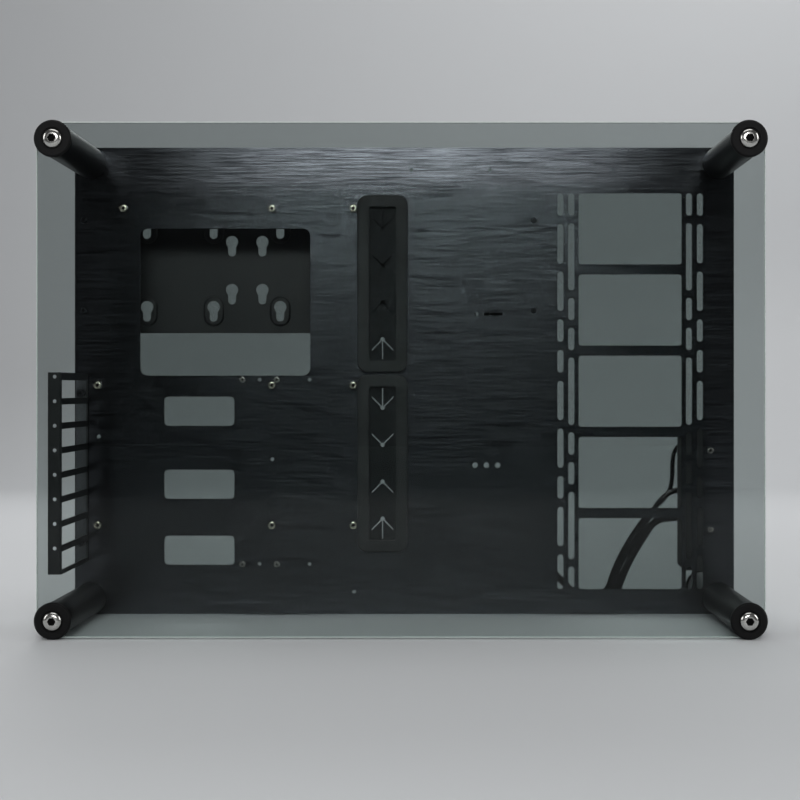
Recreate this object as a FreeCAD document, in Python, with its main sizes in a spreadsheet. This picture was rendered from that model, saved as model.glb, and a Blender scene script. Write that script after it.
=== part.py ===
import FreeCAD, Part
import math
import os
import Sketcher
from FreeCAD import Vector

# An open frame computer case: a metal tray held between two sheets of glass by round corner posts.
# X runs to the right, Y from the front glass to the back and Z up. The bumper rings stand on Z = 0.

doc = FreeCAD.newDocument("open_frame_case")
sheet = doc.addObject("Spreadsheet::Sheet", "Sizes")

SIZES = {
    # Glass and tray
    "panel_width": 588,
    "panel_height": 416,
    "glass_thickness": 5,
    "glass_corner_radius": 14,
    "glass_edge_chamfer": 0.8,
    "glass_hole_clearance": 0.5,
    "tray_thickness": 3,
    "tray_corner_radius": 4,
    # Corner posts, studs, rings, gaskets and bolts
    "post_inset": 14,
    "post_diameter": 28,
    "post_edge_chamfer": 1,
    "front_post_length": 150,
    "rear_post_length": 90,
    "post_bore_depth": 22,
    "stud_diameter": 8,
    "stud_grip": 18,
    "thread_clearance": 0.1,
    "hole_clearance": 0.2,
    "ring_diameter": 30,
    "ring_thickness": 5,
    "ring_edge_chamfer": 1.4,
    "ring_recess_depth": 1.5,
    "ring_recess_clearance": 1,
    "gasket_diameter": 24,
    "gasket_thickness": 1,
    "bolt_head_diameter": 16,
    "bolt_head_height": 4.5,
    "bolt_head_rounding": 4.2,
    "bolt_socket_width": 6,
    "bolt_socket_depth": 3,
    # Motherboard standoffs: the hole pattern of the usual full size board
    "board_left": 21.2,
    "board_low": 79.6,
    "board_middle_column": 154.94,
    "board_right_column": 227.33,
    "board_top_shift": 22.86,
    "board_middle_row": 124.46,
    "board_top_row": 281.94,
    "standoff_width": 6,
    "standoff_height": 6.5,
    "standoff_stud": 3.4,
    "standoff_thread": 3,
    "standoff_thread_depth": 5,
    # Spare holes for a shorter board, measured down from the middle row
    "short_board_drop": 45.72,
    "short_board_step": 20.32,
    "small_hole": 3.6,
    # Cut-outs behind the board
    "cooler_window_left": 37,
    "cooler_window_rise": 8.6,
    "cooler_window_width": 151.8,
    "cooler_window_height": 131.2,
    "cooler_window_radius": 7,
    "lead_window_left": 58.4,
    "lead_window_width": 62.7,
    "lead_window_height": 26,
    "lead_window_radius": 4,
    "lead_window_first": 10.2,
    "lead_window_second": 75.4,
    "lead_window_third": 134.3,
    # Radiator windows and fan slots
    "radiator_side": 92.5,
    "radiator_top": 40.6,
    "radiator_low": 18,
    "window_width": 92,
    "window_height": 63.4,
    "window_bar": 9.1,
    "window_radius": 2.5,
    "small_fan_span": 105,
    "large_fan_span": 124.5,
    "fan_slot_width": 5.5,
    "fan_slot_short": 20,
    "small_fan_slot": 60,
    "small_fan_gap": 6.67,
    "large_fan_slot": 35,
    "large_fan_gap": 7.5,
    # Spare round holes in the tray
    "spare_pair_left": 300.3,
    "spare_pair_span": 70,
    "spare_pair_top": 19.9,
    "trio_side": 230.9,
    "trio_span": 10.1,
    "trio_rise": 132.7,
    "trio_hole": 5,
    "tie_side": 229.6,
    "tie_rise": 267.6,
    "tie_slot_gap": 6,
    "tie_slot_length": 17,
    "tie_slot_width": 2.6,
    "foot_hole_left": 249.1,
    "foot_hole_rise": 19.6,
    # Rubber cable grommets
    "grommet_shift": 26,
    "grommet_rise": 10.4,
    "grommet_width": 45,
    "grommet_height": 158,
    "grommet_gap": 2,
    "grommet_radius": 9,
    "grommet_rim": 10.5,
    "grommet_front_lip": 5,
    "grommet_lip_rounding": 1.6,
    "grommet_back_lip": 2.5,
    "grommet_lip_overlap": 5.5,
    "grommet_fit": 0.1,
    "membrane_radius": 2,
    "membrane_thickness": 1.6,
    "slit_width": 1.1,
    "slit_pitch": 33,
    "slit_arm": 9.5,
    "slit_hole": 4,
    "slit_end": 1.5,
    # Folded sheet brackets
    "bracket_thickness": 1.2,
    "bend_radius": 0.8,
    "slot_frame_inset": 12,
    "slot_flange_edge": 1,
    "slot_frame_reach": 115,
    "slot_frame_rise": 10.4,
    "slot_pitch": 20.32,
    "slot_count": 8,
    "slot_opening": 15,
    "slot_end_margin": 4.9,
    "slot_first_opening": 6.4,
    "slot_first_hole": 3.6,
    "slot_fold_margin": 3,
    "slot_screw_hole": 3.2,
    "thumbscrew_from_end": 17.5,
    "thumbscrew_head": 8,
    "thumbscrew_height": 7,
    "thumbscrew_waist": 5.5,
    "thumbscrew_waist_height": 1.5,
    "thumbscrew_shank": 3.8,
    # Drive bracket behind the tray
    "drive_middle": 208.7,
    "drive_drop": 105,
    "drive_plate_width": 388,
    "drive_plate_height": 117,
    "drive_depth": 60,
    "drive_flange": 12.5,
    "drive_screw_from_wall": 6.6,
    "drive_screw_span": 80.6,
    "bay_pitch": 123.4,
    "bay_count": 3,
    "small_drive_span": 61.72,
    "small_drive_length": 76.6,
    "large_drive_span": 95.25,
    "large_drive_length": 44.45,
    "boss_width": 19,
    "boss_height": 27.7,
    "boss_rise": 2.4,
    "boss_rounding": 2,
    "keyhole_head": 11.4,
    "keyhole_neck": 7.4,
    "keyhole_drop": 9.6,
    "grip_mark_shift": 5,
    "grip_mark_width": 17.5,
    "grip_mark_rise": 1.6,
    "grip_mark_height": 2.4,
    "grip_mark_depth": 0.6,
    # Power supply bracket behind the tray
    "supply_left": 143,
    "supply_row_rise": 5.04,
    "supply_clearance": 0.5,
    "supply_depth": 88,
    "supply_length": 74,
    "supply_flange": 9.1,
    "supply_hole_from_wall": 5.65,
    "supply_hole_first": 6.5,
    "supply_hole_second": 21.7,
    "supply_hole_third": 37.1,
    "supply_hole_last": 66.3,
    "supply_frame": 12,
    "supply_window_radius": 6,
    "supply_screw_edge": 6,
    "supply_screw_span": 138,
    "supply_screw_drop": 64,
    "supply_screw_inner": 114,
    "supply_screw_low": 74,
    "supply_screw_hole": 4,
    # Small screws
    "screw_diameter": 3,
    "screw_head": 5.6,
    "screw_head_height": 1.8,
    "screw_rounding": 0.8,
    "screw_tail": 1.2,
    # Front panel bracket at the right edge
    "port_edge": 1,
    "port_width": 49,
    "port_height": 130,
    "port_rise": 38.6,
    "port_depth": 31,
    "port_lip": 12,
    "port_corner": 6,
    "port_screw_side": 21,
    "port_screw_span": 70.5,
    "port_screw_lift": 6.9,
    "circuit_gap": 5,
    "circuit_thickness": 1.6,
    "circuit_width": 34,
    "circuit_length": 122,
    "circuit_edge_gap": 2.5,
    "spacer_diameter": 5,
    "spacer_inset": 4,
    # Sockets, buttons and lamp, measured up from the foot of the front panel bracket
    "fit_gap": 0.25,
    "usb_width": 13.2,
    "usb_height": 6.6,
    "usb_length": 16,
    "usb_shell": 0.5,
    "usb_depth": 12,
    "usb_tongue": 2,
    "usb_tongue_gap": 1.1,
    "usb_low_rise": 46,
    "usb_high_rise": 66,
    "jack_body": 9.6,
    "jack_length": 12,
    "jack_nose": 6.2,
    "jack_bore": 3.6,
    "jack_bore_depth": 13,
    "jack_low_rise": 14,
    "jack_high_rise": 28,
    "control_height": 8.4,
    "power_rise": 113,
    "power_diameter": 12,
    "reset_rise": 84,
    "reset_diameter": 5,
    "button_flange": 1.4,
    "button_flange_thickness": 1.2,
    "button_out": 1.4,
    "button_edge": 0.5,
    "button_stem": 3.4,
    "button_stem_length": 6,
    "button_seat_gap": 0.1,
    "button_travel": 1.2,
    "switch_width": 6,
    "switch_length": 4,
    "switch_top": 2.6,
    "switch_pin": 2.4,
    "switch_pin_length": 1.5,
    "lamp_rise": 97,
    "lamp_diameter": 3,
    "lamp_holder_width": 4.4,
    "lamp_holder_length": 5,
    # Leads, lead sockets, header plugs and clips
    "usb_lead": 6.5,
    "audio_lead": 5,
    "switch_lead": 4,
    "lead_gap": 0.6,
    "socket_width": 10,
    "socket_length": 8,
    "socket_wall": 0.7,
    "usb_plug_length": 18,
    "usb_plug_width": 26,
    "usb_plug_height": 8,
    "audio_plug_length": 14,
    "audio_plug_width": 13.4,
    "audio_plug_height": 5.6,
    "switch_plug_length": 14,
    "switch_plug_width": 12.8,
    "switch_plug_height": 4.8,
    "clip_wall": 1.2,
    "clip_length": 8,
    "clip_foot": 7,
    "clip_side": 195,
    "clip_low_rise": 84,
    "clip_high_rise": 176,
}

for row, (alias, number) in enumerate(SIZES.items(), start=1):
    sheet.set(f"A{row}", alias)
    sheet.set(f"B{row}", str(number))
    sheet.setAlias(f"B{row}", alias)
doc.recompute()


# Helpers for expressions, bodies and sketches


def value(text):
    return float(sheet.evalExpression(text))


def body(name, x="0", y="0", z="0"):
    made = doc.addObject("PartDesign::Body", name)
    made.Label = name
    for axis, text in zip("xyz", (x, y, z)):
        made.setExpression(f".Placement.Base.{axis}", text)
    return made


def sketch(made, plane, offset=None):
    profile = made.newObject("Sketcher::SketchObject", f"{made.Name}_sketch")
    support = [part for part in made.Origin.OriginFeatures if part.Role == plane]
    profile.AttachmentSupport = (support[0], [""])
    profile.MapMode = "FlatFace"
    if offset:
        profile.setExpression(".AttachmentOffset.Base.z", offset)
    return profile


def bind(profile, constraint, text):
    profile.setExpression(f"Constraints[{profile.addConstraint(constraint)}]", text)


def pin(profile, geometry, point, x, y):
    bind(profile, Sketcher.Constraint("DistanceX", -1, 1, geometry, point, value(x)), x)
    bind(profile, Sketcher.Constraint("DistanceY", -1, 1, geometry, point, value(y)), y)


def polygon(profile, corners):
    points = [Vector(value(x), value(y)) for x, y in corners]
    lines = [Part.LineSegment(start, end) for start, end in zip(points, points[1:] + points[:1])]
    made = profile.addGeometry(lines)
    for line, following in zip(made, made[1:] + made[:1]):
        profile.addConstraint(Sketcher.Constraint("Coincident", line, 2, following, 1))
    for line, (x, y) in zip(made, corners):
        pin(profile, line, 1, x, y)


def rectangle(profile, left, low, right, high):
    polygon(profile, [(left, low), (right, low), (right, high), (left, high)])


def circle(profile, x, y, diameter):
    shape = Part.Circle(Vector(value(x), value(y)), Vector(0, 0, 1), value(diameter) / 2)
    made = profile.addGeometry(shape)
    pin(profile, made, 3, x, y)
    bind(profile, Sketcher.Constraint("Diameter", made, value(diameter)), diameter)


def arc(x, y, radius, start):
    round_line = Part.Circle(Vector(x, y), Vector(0, 0, 1), radius)
    return Part.ArcOfCircle(round_line, math.radians(start), math.radians(start + 90))


def rounded(profile, x, y, width, height, radius):
    left, right = value(f"{x} - {width} / 2"), value(f"{x} + {width} / 2")
    low, high = value(f"{y} - {height} / 2"), value(f"{y} + {height} / 2")
    bend = value(radius)
    made = profile.addGeometry([
        Part.LineSegment(Vector(left + bend, low), Vector(right - bend, low)),
        arc(right - bend, low + bend, bend, 270),
        Part.LineSegment(Vector(right, low + bend), Vector(right, high - bend)),
        arc(right - bend, high - bend, bend, 0),
        Part.LineSegment(Vector(right - bend, high), Vector(left + bend, high)),
        arc(left + bend, high - bend, bend, 90),
        Part.LineSegment(Vector(left, high - bend), Vector(left, low + bend)),
        arc(left + bend, low + bend, bend, 180),
    ])
    for piece, following in zip(made, made[1:] + made[:1]):
        profile.addConstraint(Sketcher.Constraint("Tangent", piece, 2, following, 1))
    for line, way in zip(made[::2], ("Horizontal", "Vertical") * 2):
        profile.addConstraint(Sketcher.Constraint(way, line))
    for corner in made[3::2]:
        profile.addConstraint(Sketcher.Constraint("Equal", made[1], corner))
    bind(profile, Sketcher.Constraint("DistanceX", -1, 1, made[6], 1, left), f"{x} - {width} / 2")
    bind(profile, Sketcher.Constraint("DistanceX", -1, 1, made[2], 1, right), f"{x} + {width} / 2")
    bind(profile, Sketcher.Constraint("DistanceY", -1, 1, made[0], 1, low), f"{y} - {height} / 2")
    bind(profile, Sketcher.Constraint("DistanceY", -1, 1, made[4], 1, high), f"{y} + {height} / 2")
    bind(profile, Sketcher.Constraint("Radius", made[1], bend), radius)


def upright_slot(profile, x, low, high, width):
    middle, half = value(x), value(width) / 2
    foot, head = value(low) + half, value(high) - half
    ends = [Part.Circle(Vector(middle, end), Vector(0, 0, 1), half) for end in (foot, head)]
    made = profile.addGeometry([
        Part.ArcOfCircle(ends[0], math.pi, 2 * math.pi),
        Part.LineSegment(Vector(middle + half, foot), Vector(middle + half, head)),
        Part.ArcOfCircle(ends[1], 0, math.pi),
        Part.LineSegment(Vector(middle - half, head), Vector(middle - half, foot)),
    ])
    for piece, following in zip(made, made[1:] + made[:1]):
        profile.addConstraint(Sketcher.Constraint("Tangent", piece, 2, following, 1))
    for side in made[1::2]:
        profile.addConstraint(Sketcher.Constraint("Vertical", side))
    pin(profile, made[0], 3, x, f"{low} + {width} / 2")
    bind(profile, Sketcher.Constraint("DistanceY", -1, 1, made[2], 3, head), f"{high} - {width} / 2")
    bind(profile, Sketcher.Constraint("Radius", made[0], half), f"{width} / 2")


def hexagon(profile, across):
    turns = [math.radians(60 * corner) for corner in range(6)]
    polygon(profile, [
        (f"{across} / sqrt(3) * {math.cos(turn):.9f}", f"{across} / sqrt(3) * {math.sin(turn):.9f}")
        for turn in turns
    ])


# Helpers for features


def extrude(made, profile, length, reverse=False):
    feature = made.newObject("PartDesign::Pad", f"{made.Name}_pad")
    feature.Profile = profile
    feature.setExpression("Length", length)
    feature.Reversed = reverse
    doc.recompute()
    return feature


def cut(made, profile, length=None, reverse=False):
    before = made.Shape.Volume
    feature = made.newObject("PartDesign::Pocket", f"{made.Name}_pocket")
    feature.Profile = profile
    feature.Reversed = reverse
    if length:
        feature.setExpression("Length", length)
    else:
        feature.Type = "ThroughAll"
    doc.recompute()
    if feature.Shape.Volume >= before:
        raise RuntimeError(f"{feature.Name} takes nothing away")
    return feature


def repeat(made, feature, profile, axis, pitch, count):
    pattern = made.newObject("PartDesign::LinearPattern", f"{made.Name}_pattern")
    pattern.Originals = [feature]
    pattern.Direction = (profile, [axis])
    pattern.Mode = "Spacing"
    pattern.setExpression("Offset", pitch)
    pattern.setExpression("Occurrences", count)
    made.Tip = pattern
    doc.recompute()
    return pattern


def turn(made, profile, axis):
    feature = made.newObject("PartDesign::Revolution", f"{made.Name}_turned")
    feature.Profile = profile
    feature.ReferenceAxis = (profile, [axis])
    doc.recompute()
    return feature


def edges_where(feature, wanted):
    return [f"Edge{n}" for n, edge in enumerate(feature.Shape.Edges, start=1) if wanted(edge)]


def flat_edges(feature, y):
    level = value(y)
    return edges_where(feature, lambda edge: edge.BoundBox.YLength < 1e-6
                       and abs(edge.BoundBox.YMin - level) < 1e-6)


def dress(made, kind, feature, names, amount):
    trim = made.newObject(f"PartDesign::{kind}", f"{made.Name}_{kind.lower()}")
    trim.Base = (feature, names)
    trim.setExpression("Size" if kind == "Chamfer" else "Radius", amount)
    doc.recompute()
    return trim


def bend(made, feature, plane, outer, inner):
    """Rounds the folds of a sheet; the places are those of the fold's edges in the plane of its section."""
    first, second = {"XY": ("x", "y"), "YZ": ("y", "z")}[plane]
    outside = "Sizes.bracket_thickness + Sizes.bend_radius"
    for places, radius in ((outer, outside), (inner, "Sizes.bend_radius")):
        spots = [(value(across), value(along)) for across, along in places]

        def on_fold(edge):
            ends = [(getattr(end.Point, first), getattr(end.Point, second)) for end in edge.Vertexes]
            return any(all(math.dist(end, spot) < 1e-6 for end in ends) for spot in spots)

        feature = dress(made, "Fillet", feature, edges_where(feature, on_fold), radius)


def together(name, solids):
    group = doc.addObject("Part::Compound", name)
    group.Label = name
    group.Links = solids
    doc.recompute()
    return group


nodes = []


# Shared places, each as an expression of the sheet

BASE = "(Sizes.ring_diameter / 2 - Sizes.post_inset)"
TOP = f"({BASE} + Sizes.panel_height)"
MIDDLE = f"({BASE} + Sizes.panel_height / 2)"
LEFT = "(Sizes.panel_width / -2)"
RIGHT = "(Sizes.panel_width / 2)"
POST_X = "(Sizes.panel_width / 2 - Sizes.post_inset)"
POST_LOW = "(Sizes.ring_diameter / 2)"
POST_HIGH = f"({TOP} - Sizes.post_inset)"
CORNERS = {
    "top_left": (f"-{POST_X}", POST_HIGH),
    "top_right": (POST_X, POST_HIGH),
    "bottom_left": (f"-{POST_X}", POST_LOW),
    "bottom_right": (POST_X, POST_LOW),
}

CLAMP = "(Sizes.glass_thickness + Sizes.gasket_thickness)"
POSTS = "(Sizes.front_post_length + Sizes.tray_thickness + Sizes.rear_post_length)"
FRONT_RING = f"(-({POSTS} / 2 + {CLAMP} + Sizes.ring_thickness))"
FRONT_GLASS = f"({FRONT_RING} + Sizes.ring_thickness)"
FRONT_GASKET = f"({FRONT_GLASS} + Sizes.glass_thickness)"
FRONT_POST = f"({FRONT_GASKET} + Sizes.gasket_thickness)"
TRAY = f"({FRONT_POST} + Sizes.front_post_length)"
BACK = f"({TRAY} + Sizes.tray_thickness)"
REAR_GASKET = f"({BACK} + Sizes.rear_post_length)"
REAR_GLASS = f"({REAR_GASKET} + Sizes.gasket_thickness)"
REAR_RING = f"({REAR_GLASS} + Sizes.glass_thickness)"

STUD_BORE = "(Sizes.stud_diameter / 2 + Sizes.thread_clearance)"
STUD_HOLE = "(Sizes.stud_diameter + 2 * Sizes.hole_clearance)"
SCREW_HOLE = "(Sizes.screw_diameter + 2 * Sizes.hole_clearance)"
SCREW_TAP = "(Sizes.screw_diameter + 2 * Sizes.thread_clearance)"

COLUMN_LEFT = f"({LEFT} + Sizes.board_left)"
COLUMN_MIDDLE = f"({COLUMN_LEFT} + Sizes.board_middle_column)"
COLUMN_RIGHT = f"({COLUMN_LEFT} + Sizes.board_right_column)"
ROW_LOW = f"({BASE} + Sizes.board_low)"
ROW_MIDDLE = f"({ROW_LOW} + Sizes.board_middle_row)"
ROW_TOP = f"({ROW_LOW} + Sizes.board_top_row)"
STANDOFFS = [(column, row) for row in (ROW_LOW, ROW_MIDDLE)
             for column in (COLUMN_LEFT, COLUMN_MIDDLE, COLUMN_RIGHT)]
STANDOFFS += [(f"({COLUMN_LEFT} + Sizes.board_top_shift)", ROW_TOP)]
STANDOFFS += [(column, ROW_TOP) for column in (COLUMN_MIDDLE, COLUMN_RIGHT)]

GROMMET_X = f"({COLUMN_RIGHT} + Sizes.grommet_shift)"
GROMMET_STEP = "((Sizes.grommet_height + Sizes.grommet_gap) / 2)"
GROMMETS = {
    "upper": f"({ROW_MIDDLE} + Sizes.grommet_rise + {GROMMET_STEP})",
    "lower": f"({ROW_MIDDLE} + Sizes.grommet_rise - {GROMMET_STEP})",
}
GROMMET_HOLE_WIDTH = "(Sizes.grommet_width - 2 * Sizes.grommet_lip_overlap)"
GROMMET_HOLE_HEIGHT = "(Sizes.grommet_height - 2 * Sizes.grommet_lip_overlap)"
GROMMET_HOLE_RADIUS = "(Sizes.grommet_radius - Sizes.grommet_lip_overlap)"

FRAME_WALL = f"({LEFT} + Sizes.slot_frame_inset)"
FRAME_TOP = f"({ROW_MIDDLE} + Sizes.slot_frame_rise)"
FRAME_HEIGHT = "(Sizes.slot_pitch * Sizes.slot_count + Sizes.slot_end_margin)"
FRAME_EDGE = f"({LEFT} + Sizes.slot_flange_edge)"
THUMB_X = f"(({FRAME_WALL} + {FRAME_EDGE}) / 2)"
THUMBS = [(THUMB_X, f"({FRAME_TOP} - Sizes.thumbscrew_from_end)"),
          (THUMB_X, f"({FRAME_TOP} - {FRAME_HEIGHT} + Sizes.thumbscrew_from_end)")]

DRIVE_X = f"({LEFT} + Sizes.drive_middle)"
DRIVE_Z = f"({TOP} - Sizes.drive_drop)"
DRIVE_SIDE = "(Sizes.drive_plate_width / 2 + Sizes.drive_screw_from_wall)"
DRIVE_SCREWS = [(f"({DRIVE_X} {side} {DRIVE_SIDE})", f"({DRIVE_Z} {way} Sizes.drive_screw_span / 2)")
                for side in "-+" for way in "-+"]

SUPPLY_X = f"({LEFT} + Sizes.supply_left)"
SUPPLY_WIDTH = "(Sizes.supply_screw_span + 2 * Sizes.supply_screw_edge)"
SUPPLY_INSIDE = f"({SUPPLY_WIDTH} / 2 + Sizes.supply_clearance)"
SUPPLY_OUTSIDE = f"({SUPPLY_INSIDE} + Sizes.bracket_thickness)"
SUPPLY_REACH = f"({SUPPLY_OUTSIDE} + Sizes.supply_hole_from_wall)"
SUPPLY_Z = f"({ROW_MIDDLE} + Sizes.supply_row_rise - {SUPPLY_REACH})"
SUPPLY_HOLES = [(f"({SUPPLY_X} + Sizes.supply_hole_{place})", f"({SUPPLY_Z} {way} {SUPPLY_REACH})")
                for way in "-+" for place in ("first", "second", "third", "last")]

PORT_RIGHT = f"({RIGHT} - Sizes.port_edge)"
PORT_LOW = f"({BASE} + Sizes.port_rise)"
PORT_MIDDLE = f"({PORT_LOW} + Sizes.port_height / 2)"
PORT_SCREW_Z = f"({PORT_MIDDLE} + Sizes.port_screw_lift)"
PORT_SCREWS = [(f"({RIGHT} - Sizes.port_screw_side)", f"({PORT_SCREW_Z} {way} Sizes.port_screw_span / 2)")
               for way in "-+"]
BOARD_FRONT = f"({BACK} + Sizes.bracket_thickness + Sizes.circuit_gap)"
BOARD_BACK = f"({BOARD_FRONT} + Sizes.circuit_thickness)"
BOARD_RIGHT = f"({PORT_RIGHT} - Sizes.bracket_thickness - Sizes.circuit_edge_gap)"
BOARD_LEFT = f"({BOARD_RIGHT} - Sizes.circuit_width)"
FACE_IN = f"({PORT_RIGHT} - Sizes.bracket_thickness)"
CONTROL_Y = f"({BOARD_BACK} + Sizes.control_height)"
USB_Y = f"({BOARD_BACK} + Sizes.usb_height / 2)"
JACK_Y = f"({BOARD_BACK} + Sizes.jack_body / 2)"

RADIATOR_X = f"({RIGHT} - Sizes.radiator_side)"
RADIATOR_TOP = f"({TOP} - Sizes.radiator_top)"
WINDOW_PITCH = "(Sizes.window_height + Sizes.window_bar)"
RADIATOR_ROOM = "(Sizes.panel_height - Sizes.radiator_top - Sizes.radiator_low + Sizes.window_bar)"
WINDOW_COUNT = f"floor({RADIATOR_ROOM} / {WINDOW_PITCH})"
RADIATOR_HEIGHT = f"({WINDOW_COUNT} * {WINDOW_PITCH} - Sizes.window_bar)"


# Glass panels


def glass_panel(name, y):
    made = body(name, y=y)
    outline = sketch(made, "XZ_Plane")
    rounded(outline, "0", MIDDLE, "Sizes.panel_width", "Sizes.panel_height", "Sizes.glass_corner_radius")
    extrude(made, outline, "Sizes.glass_thickness", reverse=True)
    holes = sketch(made, "XZ_Plane")
    for x, z in CORNERS.values():
        circle(holes, x, z, "Sizes.stud_diameter + 2 * Sizes.glass_hole_clearance")
    drilled = cut(made, holes)
    faces = (0, value("Sizes.glass_thickness"))
    hole = value("Sizes.stud_diameter / 2 + Sizes.glass_hole_clearance")

    def on_outline(edge):
        flat = edge.BoundBox.YLength < 1e-6 and min(abs(edge.BoundBox.YMin - face) for face in faces) < 1e-6
        return flat and not (hasattr(edge.Curve, "Radius") and abs(edge.Curve.Radius - hole) < 1e-6)

    dress(made, "Chamfer", drilled, edges_where(drilled, on_outline), "Sizes.glass_edge_chamfer")
    nodes.append(made)


glass_panel("front_glass_panel", FRONT_GLASS)
glass_panel("rear_glass_panel", REAR_GLASS)


# Motherboard tray


def fan_slots(lengths, gap):
    """Places of the slots down one column, as sums of slot lengths and gaps, while the windows last."""
    room = value(RADIATOR_HEIGHT)
    start, places = "0", []
    for length in lengths:
        if value(f"{start} + {length}") > room:
            break
        places.append((start, f"{start} + {length}"))
        start = f"{start} + {length} + {gap}"
    return start, places


tray = body("motherboard_tray", y=TRAY)
tray_outline = sketch(tray, "XZ_Plane")
rounded(tray_outline, "0", MIDDLE, "Sizes.panel_width", "Sizes.panel_height", "Sizes.tray_corner_radius")
extrude(tray, tray_outline, "Sizes.tray_thickness", reverse=True)

large_cuts = sketch(tray, "XZ_Plane")
rounded(
    large_cuts,
    f"({COLUMN_LEFT} + Sizes.cooler_window_left + Sizes.cooler_window_width / 2)",
    f"({ROW_MIDDLE} + Sizes.cooler_window_rise + Sizes.cooler_window_height / 2)",
    "Sizes.cooler_window_width", "Sizes.cooler_window_height", "Sizes.cooler_window_radius",
)
for drop in ("first", "second", "third"):
    rounded(
        large_cuts,
        f"({COLUMN_LEFT} + Sizes.lead_window_left + Sizes.lead_window_width / 2)",
        f"({ROW_MIDDLE} - Sizes.lead_window_{drop} - Sizes.lead_window_height / 2)",
        "Sizes.lead_window_width", "Sizes.lead_window_height", "Sizes.lead_window_radius",
    )
for middle in GROMMETS.values():
    rounded(large_cuts, GROMMET_X, middle, GROMMET_HOLE_WIDTH, GROMMET_HOLE_HEIGHT, GROMMET_HOLE_RADIUS)
cut(tray, large_cuts)

window = sketch(tray, "XZ_Plane")
LOWEST_WINDOW = f"({RADIATOR_TOP} - {RADIATOR_HEIGHT} + Sizes.window_height / 2)"
rounded(window, RADIATOR_X, LOWEST_WINDOW, "Sizes.window_width", "Sizes.window_height", "Sizes.window_radius")
repeat(tray, cut(tray, window), window, "V_Axis", WINDOW_PITCH, WINDOW_COUNT)

SHORT, SMALL, LARGE = "Sizes.fan_slot_short", "Sizes.small_fan_slot", "Sizes.large_fan_slot"
_, small_fan = fan_slots([SHORT, SMALL, SHORT] * 5, "Sizes.small_fan_gap")
large_end, large_fan = fan_slots([SHORT, LARGE, LARGE, SHORT] * 2 + [LARGE] * 5, "Sizes.large_fan_gap")
if value(f"{RADIATOR_HEIGHT} - ({large_end})") > value(SHORT):
    large_fan.append((large_end, RADIATOR_HEIGHT))
for span, places in (("Sizes.small_fan_span", small_fan), ("Sizes.large_fan_span", large_fan)):
    slots = sketch(tray, "XZ_Plane")
    for start, end in places:
        low, high = f"({RADIATOR_TOP} - ({end}))", f"({RADIATOR_TOP} - ({start}))"
        upright_slot(slots, f"({RADIATOR_X} - {span} / 2)", low, high, "Sizes.fan_slot_width")
    repeat(tray, cut(tray, slots), slots, "H_Axis", span, "2")

fixing_holes = sketch(tray, "XZ_Plane")
for x, z in CORNERS.values():
    circle(fixing_holes, x, z, STUD_HOLE)
for x, z in STANDOFFS:
    circle(fixing_holes, x, z, "Sizes.standoff_stud + 2 * Sizes.thread_clearance")
for x, z in DRIVE_SCREWS + SUPPLY_HOLES + PORT_SCREWS:
    circle(fixing_holes, x, z, SCREW_HOLE)
for x, z in THUMBS:
    circle(fixing_holes, x, z, "Sizes.thumbscrew_shank + 2 * Sizes.thread_clearance")
cut(tray, fixing_holes)

spare_holes = sketch(tray, "XZ_Plane")
for step in ("0", "Sizes.spare_pair_span"):
    circle(spare_holes, f"({LEFT} + Sizes.spare_pair_left + {step})",
           f"({TOP} - Sizes.spare_pair_top)", SCREW_HOLE)
for step in range(3):
    circle(spare_holes, f"({RIGHT} - Sizes.trio_side + {step} * Sizes.trio_span)",
           f"({BASE} + Sizes.trio_rise)", "Sizes.trio_hole")
circle(spare_holes, f"({LEFT} + Sizes.foot_hole_left)",
       f"({BASE} + Sizes.foot_hole_rise)", "Sizes.small_hole")
SHORT_ROW = f"({ROW_MIDDLE} - Sizes.short_board_drop)"
circle(spare_holes, COLUMN_LEFT, SHORT_ROW, "Sizes.small_hole")
circle(spare_holes, COLUMN_MIDDLE, f"({SHORT_ROW} - Sizes.short_board_step)", "Sizes.small_hole")
TIE_X, TIE_Z = f"({RIGHT} - Sizes.tie_side)", f"({BASE} + Sizes.tie_rise)"
circle(spare_holes, TIE_X, TIE_Z, "Sizes.small_hole")
rectangle(spare_holes, f"({TIE_X} + Sizes.tie_slot_gap)", f"({TIE_Z} - Sizes.tie_slot_width / 2)",
          f"({TIE_X} + Sizes.tie_slot_gap + Sizes.tie_slot_length)", f"({TIE_Z} + Sizes.tie_slot_width / 2)")
cut(tray, spare_holes)
nodes.append(tray)


# Corner posts, studs, rings, gaskets and glass bolts


def turned(name, x, y, z, corners):
    """A piece turned about Y: each corner is a radius and a distance along Y."""
    made = body(name, x, y, z)
    profile = sketch(made, "XY_Plane")
    polygon(profile, corners)
    return made, turn(made, profile, "V_Axis")


def post(name, x, y, z, length):
    radius, bevel, bore = "Sizes.post_diameter / 2", "Sizes.post_edge_chamfer", STUD_BORE
    depth = "Sizes.post_bore_depth"
    made, _ = turned(name, x, y, z, [
        ("0", depth), (bore, depth), (bore, "0"),
        (f"{radius} - {bevel}", "0"), (radius, bevel),
        (radius, f"{length} - {bevel}"), (f"{radius} - {bevel}", length),
        (bore, length), (bore, f"{length} - {depth}"), ("0", f"{length} - {depth}"),
    ])
    nodes.append(made)


for corner, (x, z) in CORNERS.items():
    post(f"front_post_{corner}", x, FRONT_POST, z, "Sizes.front_post_length")
for corner, (x, z) in CORNERS.items():
    post(f"rear_post_{corner}", x, BACK, z, "Sizes.rear_post_length")

STUD_LENGTH = "(2 * Sizes.stud_grip + Sizes.tray_thickness)"
studs = []
for corner, (x, z) in CORNERS.items():
    stud, _ = turned(f"stud_{corner}", x, f"{TRAY} - Sizes.stud_grip", z, [
        ("0", "0"), ("Sizes.stud_diameter / 2", "0"),
        ("Sizes.stud_diameter / 2", STUD_LENGTH), ("0", STUD_LENGTH),
    ])
    studs.append(stud)
nodes.append(together("post_studs", studs))


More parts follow.
